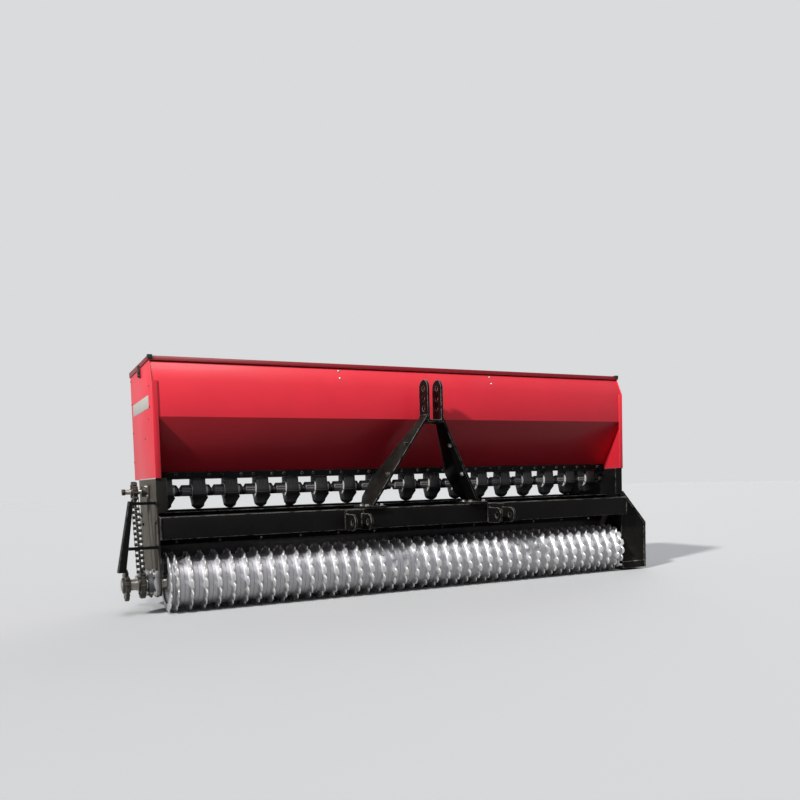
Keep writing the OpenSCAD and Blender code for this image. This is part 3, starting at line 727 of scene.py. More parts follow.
@dataclass(frozen=True)
class Matt:
    """A dull, grained surface: moulded nylon, rubber, or grey primer on a casting.

    The eye sees a fine grain, with chalky dust or dark oil lying in clouds.
    """

    name: str
    slot: str
    colour: str
    cloud: str
    clouded: float
    roughness: float
    grain: float

    def material(self) -> bpy.types.Material:
        """Mixes the surface.

        Returns:
            The material, on the object's own coordinates.
        """
        mix = Mix(self.name)
        # Clouds of dust or oil about 25 mm across.
        share = mix.ramp(mix.noise(25, 5), 0.45, 0.75, 0.0, self.clouded)
        return mix.finished({
            "Base Color": mix.blend(share, self.colour, self.cloud),
            "Roughness": self.roughness,
            "Normal": mix.bump(mix.noise(self.grain), 0.2),
        })


Finish = Enamel | CastRing | Steel | Matt


@dataclass
class PaintShop:
    """Keeps every finish, builds each once, and lays it on pieces."""

    red: Finish = Enamel(
        "red_enamel", "hopper_paint", "#CE2735",
        roughness=0.42, coat=0.05, dust=0.12, side_film_and_sheen=0.0, rubbed=0.3, gloss=0.3,
    )
    maroon: Finish = Enamel(
        "maroon_enamel", "lid_paint", "#740A15",
        roughness=0.4, coat=0.05, dust=0.06, side_film_and_sheen=0.0, rubbed=0.3, gloss=0.2,
    )
    black: Finish = Enamel(
        "black_enamel", "frame_paint", "#060607",
        roughness=0.5, coat=0.0, dust=0.14, side_film_and_sheen=0.003, rubbed=0.75, gloss=0.08,
    )
    worn: Finish = Enamel(
        "worn_black_enamel", "frame_paint", "#060607",
        roughness=0.5, coat=0.0, dust=0.14, side_film_and_sheen=0.003, rubbed=2.2, gloss=0.08,
    )
    # For the left end plate: more dust, and a strong side film that is partly dust and partly a painted
    # sheen of the low sun on its outer face.
    dusty: Finish = Enamel(
        "dusty_black_enamel", "frame_paint", "#0C0B0A",
        roughness=0.6, coat=0.0, dust=0.25, side_film_and_sheen=0.19, rubbed=0.5, gloss=0.15,
    )
    front_ring: Finish = CastRing("front_ring_iron", "ring_iron", FRONT_AXLE, FRONT_BASE, FRONT_TIP)
    rear_ring: Finish = CastRing("rear_ring_iron", "ring_iron", REAR_AXLE, REAR_BASE, REAR_TIP)
    bright: Finish = Steel("drawn_steel", "bright_steel", "#9A958E", "#6B4A33", 0.5, 0.32)
    zinc: Finish = Steel("zinc_plate", "zinc_steel", "#B4B3AE", "#7E7664", 0.4, 0.38)
    chain: Finish = Steel("oiled_chain_steel", "chain_steel", "#4A4641", "#1C1815", 0.8, 0.4)
    cup: Finish = Matt("black_nylon", "cup_plastic", "#0C0C0C", "#57524A", 0.14, 0.5, 2)
    label: Finish = Matt("blank_label", "hopper_paint", "#A9A59D", "#8C877F", 0.4, 0.5, 2)
    rim: Finish = Matt("grey_nylon", "cup_rim", "#A3A29F", "#7D776C", 0.3, 0.5, 2)
    flute: Finish = Matt("pale_nylon", "flute_plastic", "#686566", "#4A453E", 0.4, 0.6, 2)
    primer: Finish = Matt("grey_primer", "bearing_iron", "#7C7C7E", "#34302B", 0.7, 0.6, 2.5)
    dull: Finish = Matt("oily_iron", "bearing_iron", "#3A352F", "#14110E", 0.7, 0.6, 2.5)
    made: dict[str, bpy.types.Material] = field(default_factory=dict)

    def lay(self, piece: bpy.types.Object, finish: Finish) -> bpy.types.Object:
        """Gives the whole piece one finish.

        Args:
            piece: The piece.
            finish: One of the shop's finishes.

        Returns:
            The same piece.
        """
        if finish.name not in self.made:
            self.made[finish.name] = finish.material()
        piece.data.materials.clear()
        piece.data.materials.append(self.made[finish.name])
        for polygon in piece.data.polygons:
            polygon.material_index = 0
        return piece


SHOP = PaintShop()


def fit(piece: bpy.types.Object, body: str, finish: Finish, *stands_for: str) -> bpy.types.Object:
    """Fits a finished piece to the drill: its finish and the body it rides on.

    Args:
        piece: The finished piece, at the origin.
        body: The CAD body it moves with.
        finish: The finish to lay on it.
        *stands_for: The CAD nodes it replaces.

    Returns:
        The same piece.
    """
    SHOP.lay(piece, finish)
    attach(piece, body)
    if stands_for:
        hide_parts(*stands_for)
    LOG.info("fitted %s to %s: %d faces", piece.name, body, len(piece.data.polygons))
    return piece


# Sub-assemblies


@dataclass
class Plating:
    """The CAD nodes whose shape is right: each gets eased edges and its finish."""

    nodes: dict[str, bpy.types.Object]
    bodies: dict[str, str]
    ease: float = 1.2

    def eased_node(self, node: str, finish: Finish) -> bpy.types.Object:
        """Copies a node, merges its loose triangles, eases its edges and fits the copy.

        Args:
            node: The CAD node's name.
            finish: Its finish.

        Returns:
            The fitted copy.
        """
        source = self.nodes[node]
        piece = source.copy()
        piece.data = source.data.copy()
        for key in list(piece.keys()):
            del piece[key]
        piece.parent = None
        bpy.context.scene.collection.objects.link(piece)
        piece.name = node + "_dressed"
        only(piece)
        bpy.ops.object.mode_set(mode="EDIT")
        bpy.ops.mesh.select_all(action="SELECT")
        bpy.ops.mesh.remove_doubles(threshold=0.00002)
        bpy.ops.mesh.dissolve_limited(angle_limit=math.radians(1.5))
        bpy.ops.mesh.select_all(action="DESELECT")
        bpy.ops.object.mode_set(mode="OBJECT")
        eased(piece, self.ease)
        return fit(piece, self.bodies[node], finish, node)


@dataclass
class RingRoller:
    """A roller of notched cast rings, made as one shell with a turned web at each end."""

    name: str
    body: str
    node: str
    finish: Finish
    axle: Pair
    tip: float
    base: float
    teeth: int
    count: int
    closed_ends: bool
    per_tooth: int = 8
    notch: float = 12.5
    bore: float = 25.2
    shell: float = 14.0
    hub_wall: float = 16.0
    plain_rim: float = 16.0
    # Shares of the crest's height at its shoulder and just below its edge.
    shoulder: float = 0.52
    lip: float = 0.84

    @property
    def steps(self) -> int:
        """Corners round the roller."""
        return self.teeth * self.per_tooth

    @property
    def crests(self) -> list[float]:
        """The place of each ring's crest, from left to right."""
        return [(i - (self.count - 1) / 2) * RING_PITCH for i in range(self.count)]

    def height(self, share: float) -> float:
        """The radius at this share of a crest's height."""
        return self.base + (self.tip - self.base) * share

    def crest(self, x: float) -> list[Pair]:
        """The profile over one crest.

        Args:
            x: The crest's place in millimetres.

        Returns:
            Corners from left to right as place and radius.
        """
        half = [(-14.0, 0.0), (-9.0, 0.2), (-5.5, self.shoulder), (-3.6, self.lip), (-2.4, 1.0)]
        left = [(x + dx, self.height(share)) for dx, share in half]
        right = [(x - dx, self.height(share)) for dx, share in reversed(half)]
        return left + right

    def joint(self, x: float) -> list[Pair]:
        """The profile down into the groove at a ring's right-hand joint."""
        return [(x - 0.8, self.base - 0.4), (x, self.base - 2.5)]

    def notched(self, piece: bpy.types.Object, x: float, phase: int) -> None:
        """Presses the gaps between the teeth into one crest by scaling its corners inwards.

        Args:
            piece: The shell.
            x: The crest's place in millimetres.
            phase: Corners by which the first gap is turned.
        """
        centre = at(x, *self.axle)
        # How deep a corner sinks, by its number of corners from the middle of the gap.
        depth = {0: 1.0, 1: 0.8, self.per_tooth - 1: 0.8, 2: 0.12, self.per_tooth - 2: 0.12}
        only(piece)
        for rise, share in ((1.0, 1.0), (self.lip, 0.7), (self.shoulder, 0.2)):
            level = self.height(rise)
            for step, amount in depth.items():
                wanted = []
                for i, vertex in enumerate(piece.data.vertices):
                    local = vertex.co - centre
                    radius = math.hypot(local.y, local.z)
                    if abs(local.x) > 0.008 or abs(radius - level * MM) > 0.0008:
                        continue
                    turn = round(math.atan2(local.z, local.y) / (2 * math.pi) * self.steps)
                    if (turn - phase) % self.per_tooth == step:
                        wanted.append(i)
                factor = 1 - self.notch * share * amount / level
                self.scale_corners(piece, wanted, centre, factor)

    @staticmethod
    def scale_corners(
        piece: bpy.types.Object, corners: Sequence[int], centre: Vector, factor: float
    ) -> None:
        """Scales corners of the piece about the roller's axle.

        Args:
            piece: The piece.
            corners: The numbers of the corners.
            centre: A point on the axle in the row frame.
            factor: What their distance from the axle is multiplied by.
        """
        if not corners:
            return
        bpy.ops.object.mode_set(mode="EDIT")
        bpy.ops.mesh.select_mode(type="VERT")
        bpy.ops.mesh.select_all(action="DESELECT")
        bpy.ops.object.mode_set(mode="OBJECT")
        for i in corners:
            piece.data.vertices[i].select = True
        bpy.ops.object.mode_set(mode="EDIT")
        bpy.ops.transform.resize(value=(1, factor, factor), center_override=centre)
        bpy.ops.object.mode_set(mode="OBJECT")

    def ring(self) -> bpy.types.Object:
        """One ring between its two joints.

        Returns:
            The ring about x = 0, open at its joints.
        """
        right = self.joint(RING_PITCH / 2)
        left = [(-x, radius) for x, radius in reversed(right)]
        profile = left + self.crest(0) + right
        piece = turned("ring", (0, *self.axle), profile, steps=self.steps, capped=False)
        self.notched(piece, 0, 0)
        return piece

    def end(self, side: int) -> bpy.types.Object:
        """The last ring with its half crest or plain rim, and the web and hub that close the shell.

        Args:
            side: -1 for the end with the chain, 1 for the other.

        Returns:
            The closed end, reaching to the joint with the next ring.
        """
        last = abs(self.crests[0])
        half = RING_PITCH / 2
        inner = self.base - self.shell
        rim = last + (half if self.closed_ends else self.plain_rim)
        hub = self.bore + self.hub_wall
        profile = [(-rim, self.bore), (-rim, hub - 2), (-rim + 2, hub)]
        profile += [(-rim + 5, hub + 1), (-rim + 5, inner)]
        if self.closed_ends:
            profile += [(-rim - 3, inner + 1), (-rim - 3, self.base + 12), (-rim - 2.4, self.tip)]
            profile += [p for p in self.crest(-rim) if p[0] > -rim]
        else:
            profile += [(-rim, inner + 1), (-rim, self.base - 2)]
        profile += self.crest(-last) + self.joint(half - last)
        if side > 0:
            profile = [(-x, r) for x, r in profile]
        piece = turned("ring_end", (0, *self.axle), profile, steps=self.steps, capped=False)
        self.notched(piece, side * last, 3)
        if self.closed_ends:
            self.notched(piece, side * rim, 6)
        return piece

    def build(self) -> None:
        """Builds the roller: rings turned at random by whole corners, merged at their joints."""
        dice = random.Random(self.node)
        ring = self.ring()
        turn = 2 * math.pi / self.steps
        middle = at(0, *self.axle)
        parts = []
        for x in self.crests[1:-1]:
            spin = Matrix.Rotation(turn * dice.randrange(self.per_tooth), 4, "X")
            place = shift(x) @ Matrix.Translation(middle) @ spin @ Matrix.Translation(-middle)
            parts.append(copied(ring, place))
        bpy.data.objects.remove(ring)
        parts += [self.end(-1), self.end(1)]
        piece = joined(self.name, parts)
        bpy.ops.object.mode_set(mode="EDIT")
        bpy.ops.mesh.select_all(action="SELECT")
        bpy.ops.mesh.remove_doubles(threshold=0.00003)
        bpy.ops.mesh.normals_make_consistent(inside=False)
        bpy.ops.object.mode_set(mode="OBJECT")
        bpy.ops.object.shade_smooth_by_angle(angle=math.radians(42))
        fit(piece, self.body, self.finish, self.node)


@dataclass(frozen=True)
class Bolt:
    """A hex bolt or nut by its head's corner radius, head height and washer radius."""

    head_r: float
    head_h: float
    washer_r: float
    washer_t: float = 1.6
    stud: float = 0.0

    def piece(self) -> bpy.types.Object:
        """Makes the bolt's visible end.

        Returns:
            The bolt along +Z on the row frame's origin.
        """
        t, h, r = self.washer_t, self.head_h, self.head_r
        washer = turned("washer", ORIGIN, [(0, self.washer_r), (t, self.washer_r)], Axis.Z, 14)
        head = [(t, r * 0.97), (t + 0.6, r), (t + h * 0.8, r), (t + h, r * 0.86)]
        parts = [washer, turned("head", ORIGIN, head, Axis.Z, 6)]
        if self.stud:
            tip = [(t + h, r * 0.5), (t + h + self.stud, r * 0.5), (t + h + self.stud + 1, r * 0.4)]
            parts.append(turned("stud", ORIGIN, tip, Axis.Z, 10))
        return joined("bolt", parts)


@dataclass(frozen=True)
class Rivet:
    """A domed rivet or coach-bolt head by its radius."""

    radius: float

    def piece(self) -> bpy.types.Object:
        """Makes the dome.

        Returns:
            The rivet along +Z on the row frame's origin.
        """
        r = self.radius
        dome = [(0, r), (r * 0.3, r * 0.92), (r * 0.52, r * 0.55), (r * 0.6, r * 0.15)]
        return turned("rivet", ORIGIN, dome, Axis.Z, 10)


class Size(Enum):
    """The fixings used on the drill."""

    M6 = Bolt(5.8, 4.0, 6.4)
    M8 = Bolt(7.5, 5.3, 8.5)
    M10 = Bolt(9.8, 6.4, 11.0)
    M12 = Bolt(11.0, 7.5, 13.0)
    M12_NUT = Bolt(11.0, 8.0, 13.0, stud=5.0)
    SCREW = Bolt(3.6, 2.2, 4.6, 0.8)
    SMALL_RIVET = Rivet(4.5)
    RIVET = Rivet(6.5)


@dataclass(frozen=True)
class Row:
    """One kind of fixing at several places: the points are where its washer sits."""

    name: str
    size: Size
    direction: Point
    points: Sequence[Point]
    finish: Finish

    def build(self) -> None:
        """Makes the fixing once and copies it to its places, each turned at random."""
        dice = random.Random(self.name)
        places = [facing(point, self.direction, dice.uniform(0, 60)) for point in self.points]
        fit(repeated(self.name, self.size.value.piece(), places), "machine", self.finish)


@dataclass
class Fixings:
    """Every visible bolt, nut, screw and rivet."""

    cups: Sequence[float]
    # Half the side of the square of bolts on a roller's bearing, and on the feed block.
    bearing_square: float = 43.0
    block_square: float = 21.0
    # Which way the fixings on the hopper's front, the dark skirt below the deflector (painted
    # shade) and the drive cover face.
    panel_lean: Point = (0, -0.91, 0.41)
    shade_skirt_lean: Point = (0, -0.892, -0.452)
    cover_lean: Point = (0.739, 0, 0.673)

    @property
    def plate(self) -> float:
        """The outer face of the right end plate."""
        return span("end_plate_right")[1].x

    @property
    def pad(self) -> float:
        """The outer face of a roller bearing's flange at the right end."""
        return span("front_bearings")[1].x - 30

    @staticmethod
    def square(x: float, centre: Pair, half: float) -> list[Point]:
        """The corners of an upright square of bolts.

        Args:
            x: Where the washers sit.
            centre: The square's middle as (y, z).
            half: Half its side.

        Returns:
            The four places.
        """
        y, z = centre
        return [(x, y + dy, z + dz) for dy in (-half, half) for dz in (-half, half)]

    def front_rows(self) -> list[Row]:
        """The fixings that are spread along the machine's front.

        Returns:
            The rows, with places taken from the frame.
        """
        channel = span("feed_channel")[0]
        panel = span("hopper_front")[0]
        foot_top = span("leg_feet")[1].z
        y, z = FEED_SHAFT
        return [
            Row("channel_bolts", Size.M8, FRONT,
                [(x + dx, channel.y, channel.z + 17) for x in self.cups for dx in (-47, 47)
                 if abs(x + dx) < self.plate - 12], SHOP.black),
            Row("cup_screws", Size.SCREW, LEFT,
                [(x - 34, y + 36 * math.cos(a), z + 36 * math.sin(a))
                 for x in self.cups for a in (1.57, 3.66, 5.76)], SHOP.cup),
            # Bolts on the dark skirt of painted shade below the deflector.
            Row("skirt_bolts", Size.M6, self.shade_skirt_lean,
                [(i * 205.0, 90.5, 312.8) for i in range(-6, 7)], SHOP.black),
            Row("brace_rivets", Size.RIVET, self.panel_lean,
                [(x, panel.y + (z - 1043) / 2.2, z) for x in (-441, 441) for z in (1120, 1082)], SHOP.zinc),
            Row("foot_bolts", Size.M12, UP,
                [(s * 300 + dx, y, foot_top) for s in (-1, 1) for dx in (-38, 42) for y in (-118, -52)],
                SHOP.zinc),
        ]

    def side_rows(self, side: int, name: str) -> list[Row]:
        """The fixings that both ends of the machine have.

        Args:
            side: -1 for the left end, 1 for the right.
            name: The end's name, which closes each row's name.

        Returns:
            The rows, with places taken from the frame.
        """
        direction = LEFT if side < 0 else RIGHT
        x = side * self.plate
        return [
            Row(f"panel_rivets_{name}", Size.SMALL_RIVET, direction,
                [(x, 527, z) for z in (1112, 996, 851, 703)]
                + [(x, -18, 1026), (x, -19, 933), (x, 24, 883), (x, 138, 800)], SHOP.black),
            Row(f"rear_bearing_bolts_{name}", Size.M12, direction,
                self.square(side * self.pad, REAR_AXLE, self.bearing_square), SHOP.zinc),
            Row(f"plate_bolts_{name}", Size.M12, direction,
                [(x, y, z) for y, z in ((-60, 420), (320, 400), (360, 440))], SHOP.black),
            Row(f"leg_bolts_{name}", Size.M12, (-side * 0.856, 0, -0.517),
                [(side * (300 - (z - FOOT_TOP) * 0.6038), y, z) for y, z in ((-160, 747), (-126, 600))],
                SHOP.zinc),
            Row(f"leg_nuts_{name}", Size.M12_NUT, (side * 0.856, 0, 0.517),
                [(side * (314.4 - (z - FOOT_TOP) * 0.6067), y, z) for y, z in ((-160, 753), (-126, 606))],
                SHOP.black),
        ]

    def drive_rows(self) -> list[Row]:
        """The fixings of the drive, its cover, the hinges and the stays.

        Returns:
            The rows, with places taken from the frame.
        """
        block_x = -self.plate - 10
        hinge_y = span("hopper_rear")[1].y + 3
        return [
            Row("front_bearing_bolts", Size.M12, LEFT,
                self.square(-self.pad, FRONT_AXLE, self.bearing_square), SHOP.zinc),
            Row("feed_block_bolts", Size.M8, LEFT,
                self.square(block_x, FEED_SHAFT, self.block_square), SHOP.zinc),
            Row("guard_bolts", Size.M6, LEFT, [(block_x, -50, z) for z in (307, 504)], SHOP.zinc),
            Row("cover_bolts", Size.M8, self.cover_lean,
                [(1368, y, 478 - 26.25 * 1.097) for y in (-60, 60, 190, 320)], SHOP.zinc),
            Row("hinge_rivets", Size.SMALL_RIVET, REAR,
                [(x + dx, hinge_y, 1133) for x in (-1000.3, -333.4, 333.4, 1000.3) for dx in (15, 45)],
                SHOP.zinc),
            Row("stay_bolts_left", Size.M10, LEFT,
                [(s * STAY_X - 5, 345, z) for s in (-1, 1) for z in (500, 560)], SHOP.zinc),
        ]

    def rows(self) -> list[Row]:
        """Every row, from the front through both ends to the drive."""
        sides = [*self.side_rows(-1, "left"), *self.side_rows(1, "right")]
        return [*self.front_rows(), *sides, *self.drive_rows()]

    def build(self) -> None:
        """Builds every row."""
        for row in self.rows():
            row.build()


@dataclass
class Welds:
    """Fillet welds between plates and tubes: rippled beads stretched along each joint."""

    length: float = 100.0
    # Half the span of the lower hitch points, and the front of the plates that carry their ears.
    hitch: float = 412.5
    plate_front: float = -139.0

    def bead(self) -> bpy.types.Object:
        """One bead with a ripple each 5 mm.

        Returns:
            The bead along +Z on the row frame's origin.
        """
        profile = [(0.0, 2.0)]
        for i in range(int(self.length / 5)):
            profile += [(i * 5 + 1.5, 4.2), (i * 5 + 4.5, 3.5)]
        return turned("bead", ORIGIN, [*profile, (self.length, 2.0)], Axis.Z, 8)

    def seams(self, s: int) -> list[tuple[Point, Point]]:
        """The joints welded on one side of the machine.

        Args:
            s: -1 for the left side, 1 for the right.

        Returns:
            Where each seam begins and ends.
        """
        bar, bar_top = span("toolbar")
        beam, beam_top = span("rear_beam")
        end, tail = s * bar_top.x, s * beam_top.x
        low, high = bar.z + 4, bar_top.z - 4
        # The leg on its foot, the mast head's ears outside and inside, and the foot on the bar.
        seams = [((s * x, -125, FOOT_TOP), (s * x, 11, FOOT_TOP)) for x in (299, 315.4)]
        seams += [((s * 45, -224, z), (s * 45, -150, z)) for z in (876, 897)]
        seams += [((s * 31, -232, z), (s * 31, -148, z)) for z in (872, 860)]
        seams += [((s * 245, y, BAR_TOP), (s * 355, y, BAR_TOP)) for y in (bar.y, bar_top.y)]
        # The bar's and the rear beam's ends on the end plate, and the stay's two faces on the beam.
        seams += [
            ((end, bar.y, low), (end, bar.y, high)),
            ((end, bar.y + 4, BAR_TOP), (end, bar_top.y - 4, BAR_TOP)),
            ((end, bar_top.y, low), (end, bar_top.y, high)),
            ((tail, beam.y + 4, beam_top.z), (tail, beam_top.y - 4, beam_top.z)),
            ((tail, beam_top.y, beam.z + 4), (tail, beam_top.y, beam_top.z - 4)),
        ]
        stay = [s * x for x in (STAY_X - 5, STAY_X + 5)]
        seams += [((x, beam.y, beam_top.z), (x, beam_top.y, beam_top.z)) for x in stay]
        # The clevis's ears on its plate, and the plate on the bar.
        hitch, front = s * self.hitch, self.plate_front
        seams += [((hitch + e, front, low), (hitch + e, front, 416)) for e in (-35, 35)]
        seams += [((hitch + e, bar.y, low), (hitch + e, bar.y, high)) for e in (-47, 47)]
        return seams

    def build(self) -> None:
        """Lays every bead as one piece."""
        places = []
        for start, stop in self.seams(-1) + self.seams(1):
            run = Vector(stop) - Vector(start)
            places.append(facing(start, run) @ Matrix.Diagonal((1, 1, run.length / self.length, 1)))
        fit(repeated("weld_beads", self.bead(), places), "machine", SHOP.black)


@dataclass
class MeteringRow:
    """What the moulded cups carry: ribs, grey bands on the sleeves and troughs under the cones."""

    cups: Sequence[float]
    cup_radius: float = 45.0

    def build(self) -> None:
        """Builds each moulding once on the middle cup and copies it along the row."""
        places = [shift(x) for x in self.cups]
        y, z = FEED_SHAFT
        front = y - self.cup_radius
        ribs = [block("rib", (x - 1.5, front + 1, 572), (x + 1.5, front + 9, 607)) for x in (-18, 0, 18)]
        ribs += [
            block("lip", (-31, front - 2, 536), (31, front + 10, 541)),
            block("ear", (-56, front - 1, 612), (56, front + 2, 634), 0.8),
            turned("flap_pin", (0, y + 8, 482), [(-29, 4), (29, 4)], steps=12),
        ]
        fit(repeated("cup_mouldings", joined("moulding", ribs), places), "machine", SHOP.cup)
        band = ringed("band", (0, y, z), [(31, 27.2), (32, 28.6), (43, 28.6), (44, 27.2)], steps=28)
        fit(repeated("sleeve_bands", band, places), "machine", SHOP.rim)
        inside = [x for x in self.cups if x < max(self.cups)]
        profile = [(54.3, 26.9), (62.4, 15.5), (65, 15.5), (73, 26.9)]
        trough = ringed("trough", (0, y, z), profile, steps=28)
        only(trough)
        bpy.ops.object.mode_set(mode="EDIT")
        bpy.ops.mesh.select_all(action="SELECT")
        bpy.ops.mesh.bisect(plane_co=at(0, y, z - 2), plane_no=UP, clear_outer=True, use_fill=True)
        bpy.ops.object.mode_set(mode="OBJECT")
        fit(repeated("shaft_troughs", trough, [shift(x) for x in inside]), "machine", SHOP.cup)


@dataclass
class RollerChain:
    """The chain as single links round both sprockets."""

    x: float = -1407.75
    low: Pair = FRONT_AXLE
    low_teeth: int = 14
    high: Pair = FEED_SHAFT
    high_teeth: int = 10
    pitch: float = 25.4
    end_radius: float = 7.6

    def reach(self, teeth: int) -> float:
        """Pitch radius of a sprocket."""
        return self.pitch / (2 * math.sin(math.pi / teeth))

    def pins(self) -> list[Vector]:
        """Spreads an even number of pins along the loop.

        Returns:
            Their places as (y, z), beginning in a gap between the lower sprocket's teeth.
        """
        c0, c1 = Vector(self.low), Vector(self.high)
        r0, r1 = self.reach(self.low_teeth), self.reach(self.high_teeth)
        along = math.atan2(c1.y - c0.y, c1.x - c0.x)
        gap = (c1 - c0).length
        spread = math.acos((r0 - r1) / gap)
        run = gap * math.sin(spread)
        upper, lower = 2 * spread * r1, (2 * math.pi - 2 * spread) * r0
        total = 2 * run + upper + lower
        count = 2 * round(total / self.pitch / 2)
        step = 2 * math.pi / self.low_teeth
        phase = 2 * run + upper + r0 * ((along - spread) % step)

        def point(s: float) -> Vector:
            """The place on the loop: up one run, over the top, down the other run, round below.

            Args:
                s: Millimetres along the loop.

            Returns:
                The place as (y, z).
            """
            s %= total
            side = along + spread
            edge = Vector((math.cos(side), math.sin(side)))
            if s < run:
                return c0 + edge * r0 + ((c1 + edge * r1) - (c0 + edge * r0)) * s / run
            if s < run + upper:
                a = side - (s - run) / r1
                return c1 + Vector((math.cos(a), math.sin(a))) * r1
            side = along - spread
            edge = Vector((math.cos(side), math.sin(side)))
            s -= run + upper
            if s < run:
                return c1 + edge * r1 + ((c0 + edge * r0) - (c1 + edge * r1)) * s / run
            a = side - (s - run) / r0
            return c0 + Vector((math.cos(a), math.sin(a))) * r0

        return [point(phase + i * total / count) for i in range(count)]

    def link(self, near: float, thick: float, rollers: bool) -> bpy.types.Object:
        """A link's two plates with their waist, and its rollers or its pins, about one pin.

        Args:
            near: Where the plates begin beside the middle.
            thick: Thickness of a plate.
            rollers: True for the inner link with rollers, False for the outer one with pins.

        Returns:
            The link along +Y at the row frame's origin.
        """
        turns = [math.radians(a) for a in range(60, 301, 40)]
        tail = [(self.end_radius * math.cos(a), self.end_radius * math.sin(a)) for a in turns]
        outline = [(MID_Y + y, z) for y, z in tail] + [(MID_Y + self.pitch / 2, -5.4)]
        outline += [(MID_Y + self.pitch - y, -z) for y, z in tail] + [(MID_Y + self.pitch / 2, 5.4)]
        parts = [cut_plate("side", outline, Axis.X, s * near - (thick if s < 0 else 0),
                           s * near + (thick if s > 0 else 0), 0.4) for s in (-1, 1)]
        reach, r = (7.8, 7.7) if rollers else (12.2, 3.4)
        for y in (0, self.pitch):
            rod = [(-reach, r * 0.9), (-reach + 0.6, r), (reach - 0.6, r), (reach, r * 0.9)]
            parts.append(turned("rod", (0, MID_Y + y, 0), rod, steps=14))
        return joined("link", parts)

    def build(self) -> None:
        """Copies inner and outer links in turn from pin to pin."""
        pins = self.pins()
        for name, near, thick, first in (("inner_links", 8.0, 1.4, 0), ("outer_links", 9.5, 1.4, 1)):
            places = []
            for i in range(first, len(pins), 2):
                a, b = pins[i], pins[(i + 1) % len(pins)]
                turn = math.atan2(b.y - a.y, b.x - a.x)
                places.append(Matrix.Translation(at(self.x, a.x, a.y)) @ Matrix.Rotation(turn, 4, "X"))
            piece = repeated("chain_" + name, self.link(near, thick, first == 0), places)
            fit(piece, "machine", SHOP.chain, *(["drive_chain"] if first == 0 else []))


@dataclass
class ShaftFittings:
    """Collars, grease nipples, set screws and keys on the shafts and their bearings."""

    # The left end of the front axle, and where the keys of the two shafts lie.
    axle_end: float = -1497.0
    roller_key: float = -1490.0
    feed_key: float = -1434.0

    def build(self) -> None:
        """Builds the fittings of both rollers and of the feed shaft."""
        pad = span("front_bearings")[1].x
        for side, axle, body in (
            (1, FRONT_AXLE, "front_roller"), (-1, REAR_AXLE, "rear_roller"), (1, REAR_AXLE, "rear_roller"),
        ):
            self.collar(side, side * (pad + 1), axle, body)
        self.nipples(pad - 20)
        self.key("roller_key", self.roller_key, FRONT_AXLE, 25, "front_roller")
        self.key("feed_key", self.feed_key, FEED_SHAFT, 11, "feed_rotor")
        x = self.axle_end
        ends = [turned("end", (0, *FRONT_AXLE), [(x, 22), (x + 1.3, 24.6)], steps=28),
                turned("centre", (0, *FRONT_AXLE), [(x - 0.6, 6), (x, 6.5)], steps=16)]
        fit(joined("axle_end", ends), "front_roller", SHOP.bright)

    @staticmethod
    def collar(side: int, edge: float, axle: Pair, body: str) -> None:
        """A set collar with its screw, outside a bearing.

        Args:
            side: -1 for the left end, 1 for the right.
            edge: Where the collar begins.
            axle: The shaft as (y, z).
            body: The body that the shaft belongs to.
        """
        name = f"collar_{'left' if side < 0 else 'right'}_{body}"
        y, z = axle
        profile = [(0, 25.1), (0, 35), (1.5, 36.5), (12, 36.5), (13.5, 35), (13.5, 25.1)]
        ring = ringed(name, (edge, y, z), [(side * x, radius) for x, radius in profile])
        screw = turned("screw", (edge + side * 7, y, z + 34), [(0, 4.5), (5, 4.5), (5.6, 3.8)], Axis.Z, 6)
        fit(joined(name, [ring, screw]), body, SHOP.zinc)

    @staticmethod
    def nipples(x: float) -> None:
        """Grease nipples on top of the bearings.

        Args:
            x: The distance of each from the machine's middle.
        """
        profile = [(0, 5), (4, 5), (4.5, 3), (9, 3), (10, 4), (12, 3.4), (13, 1.5)]
        nipple = turned("nipple", ORIGIN, profile, Axis.Z, 10)
        places = [(s * x, y, z + 41) for s, (y, z) in ((-1, FRONT_AXLE), (-1, REAR_AXLE), (1, REAR_AXLE))]
        fit(repeated("grease_nipples", nipple, [facing(p, UP) for p in places]), "machine", SHOP.zinc)

    @staticmethod
    def key(name: str, x: float, axle: Pair, radius: float, body: str) -> None:
        """A key let into the top of a shaft.

        Args:
            name: The piece's name.
            x: A place along the shaft: the key lies from 5 mm left of it to 12 mm right of it.
            axle: The shaft as (y, z).
            radius: The shaft's radius.
            body: The body that the shaft belongs to.
        """
        y, z = axle
        half = radius * 0.16 + 1
        low = (x - 5, y - half, z + radius - 2)
        fit(block(name, low, (x + 12, y + half, z + radius + 1.5), 0.4), body, SHOP.zinc)


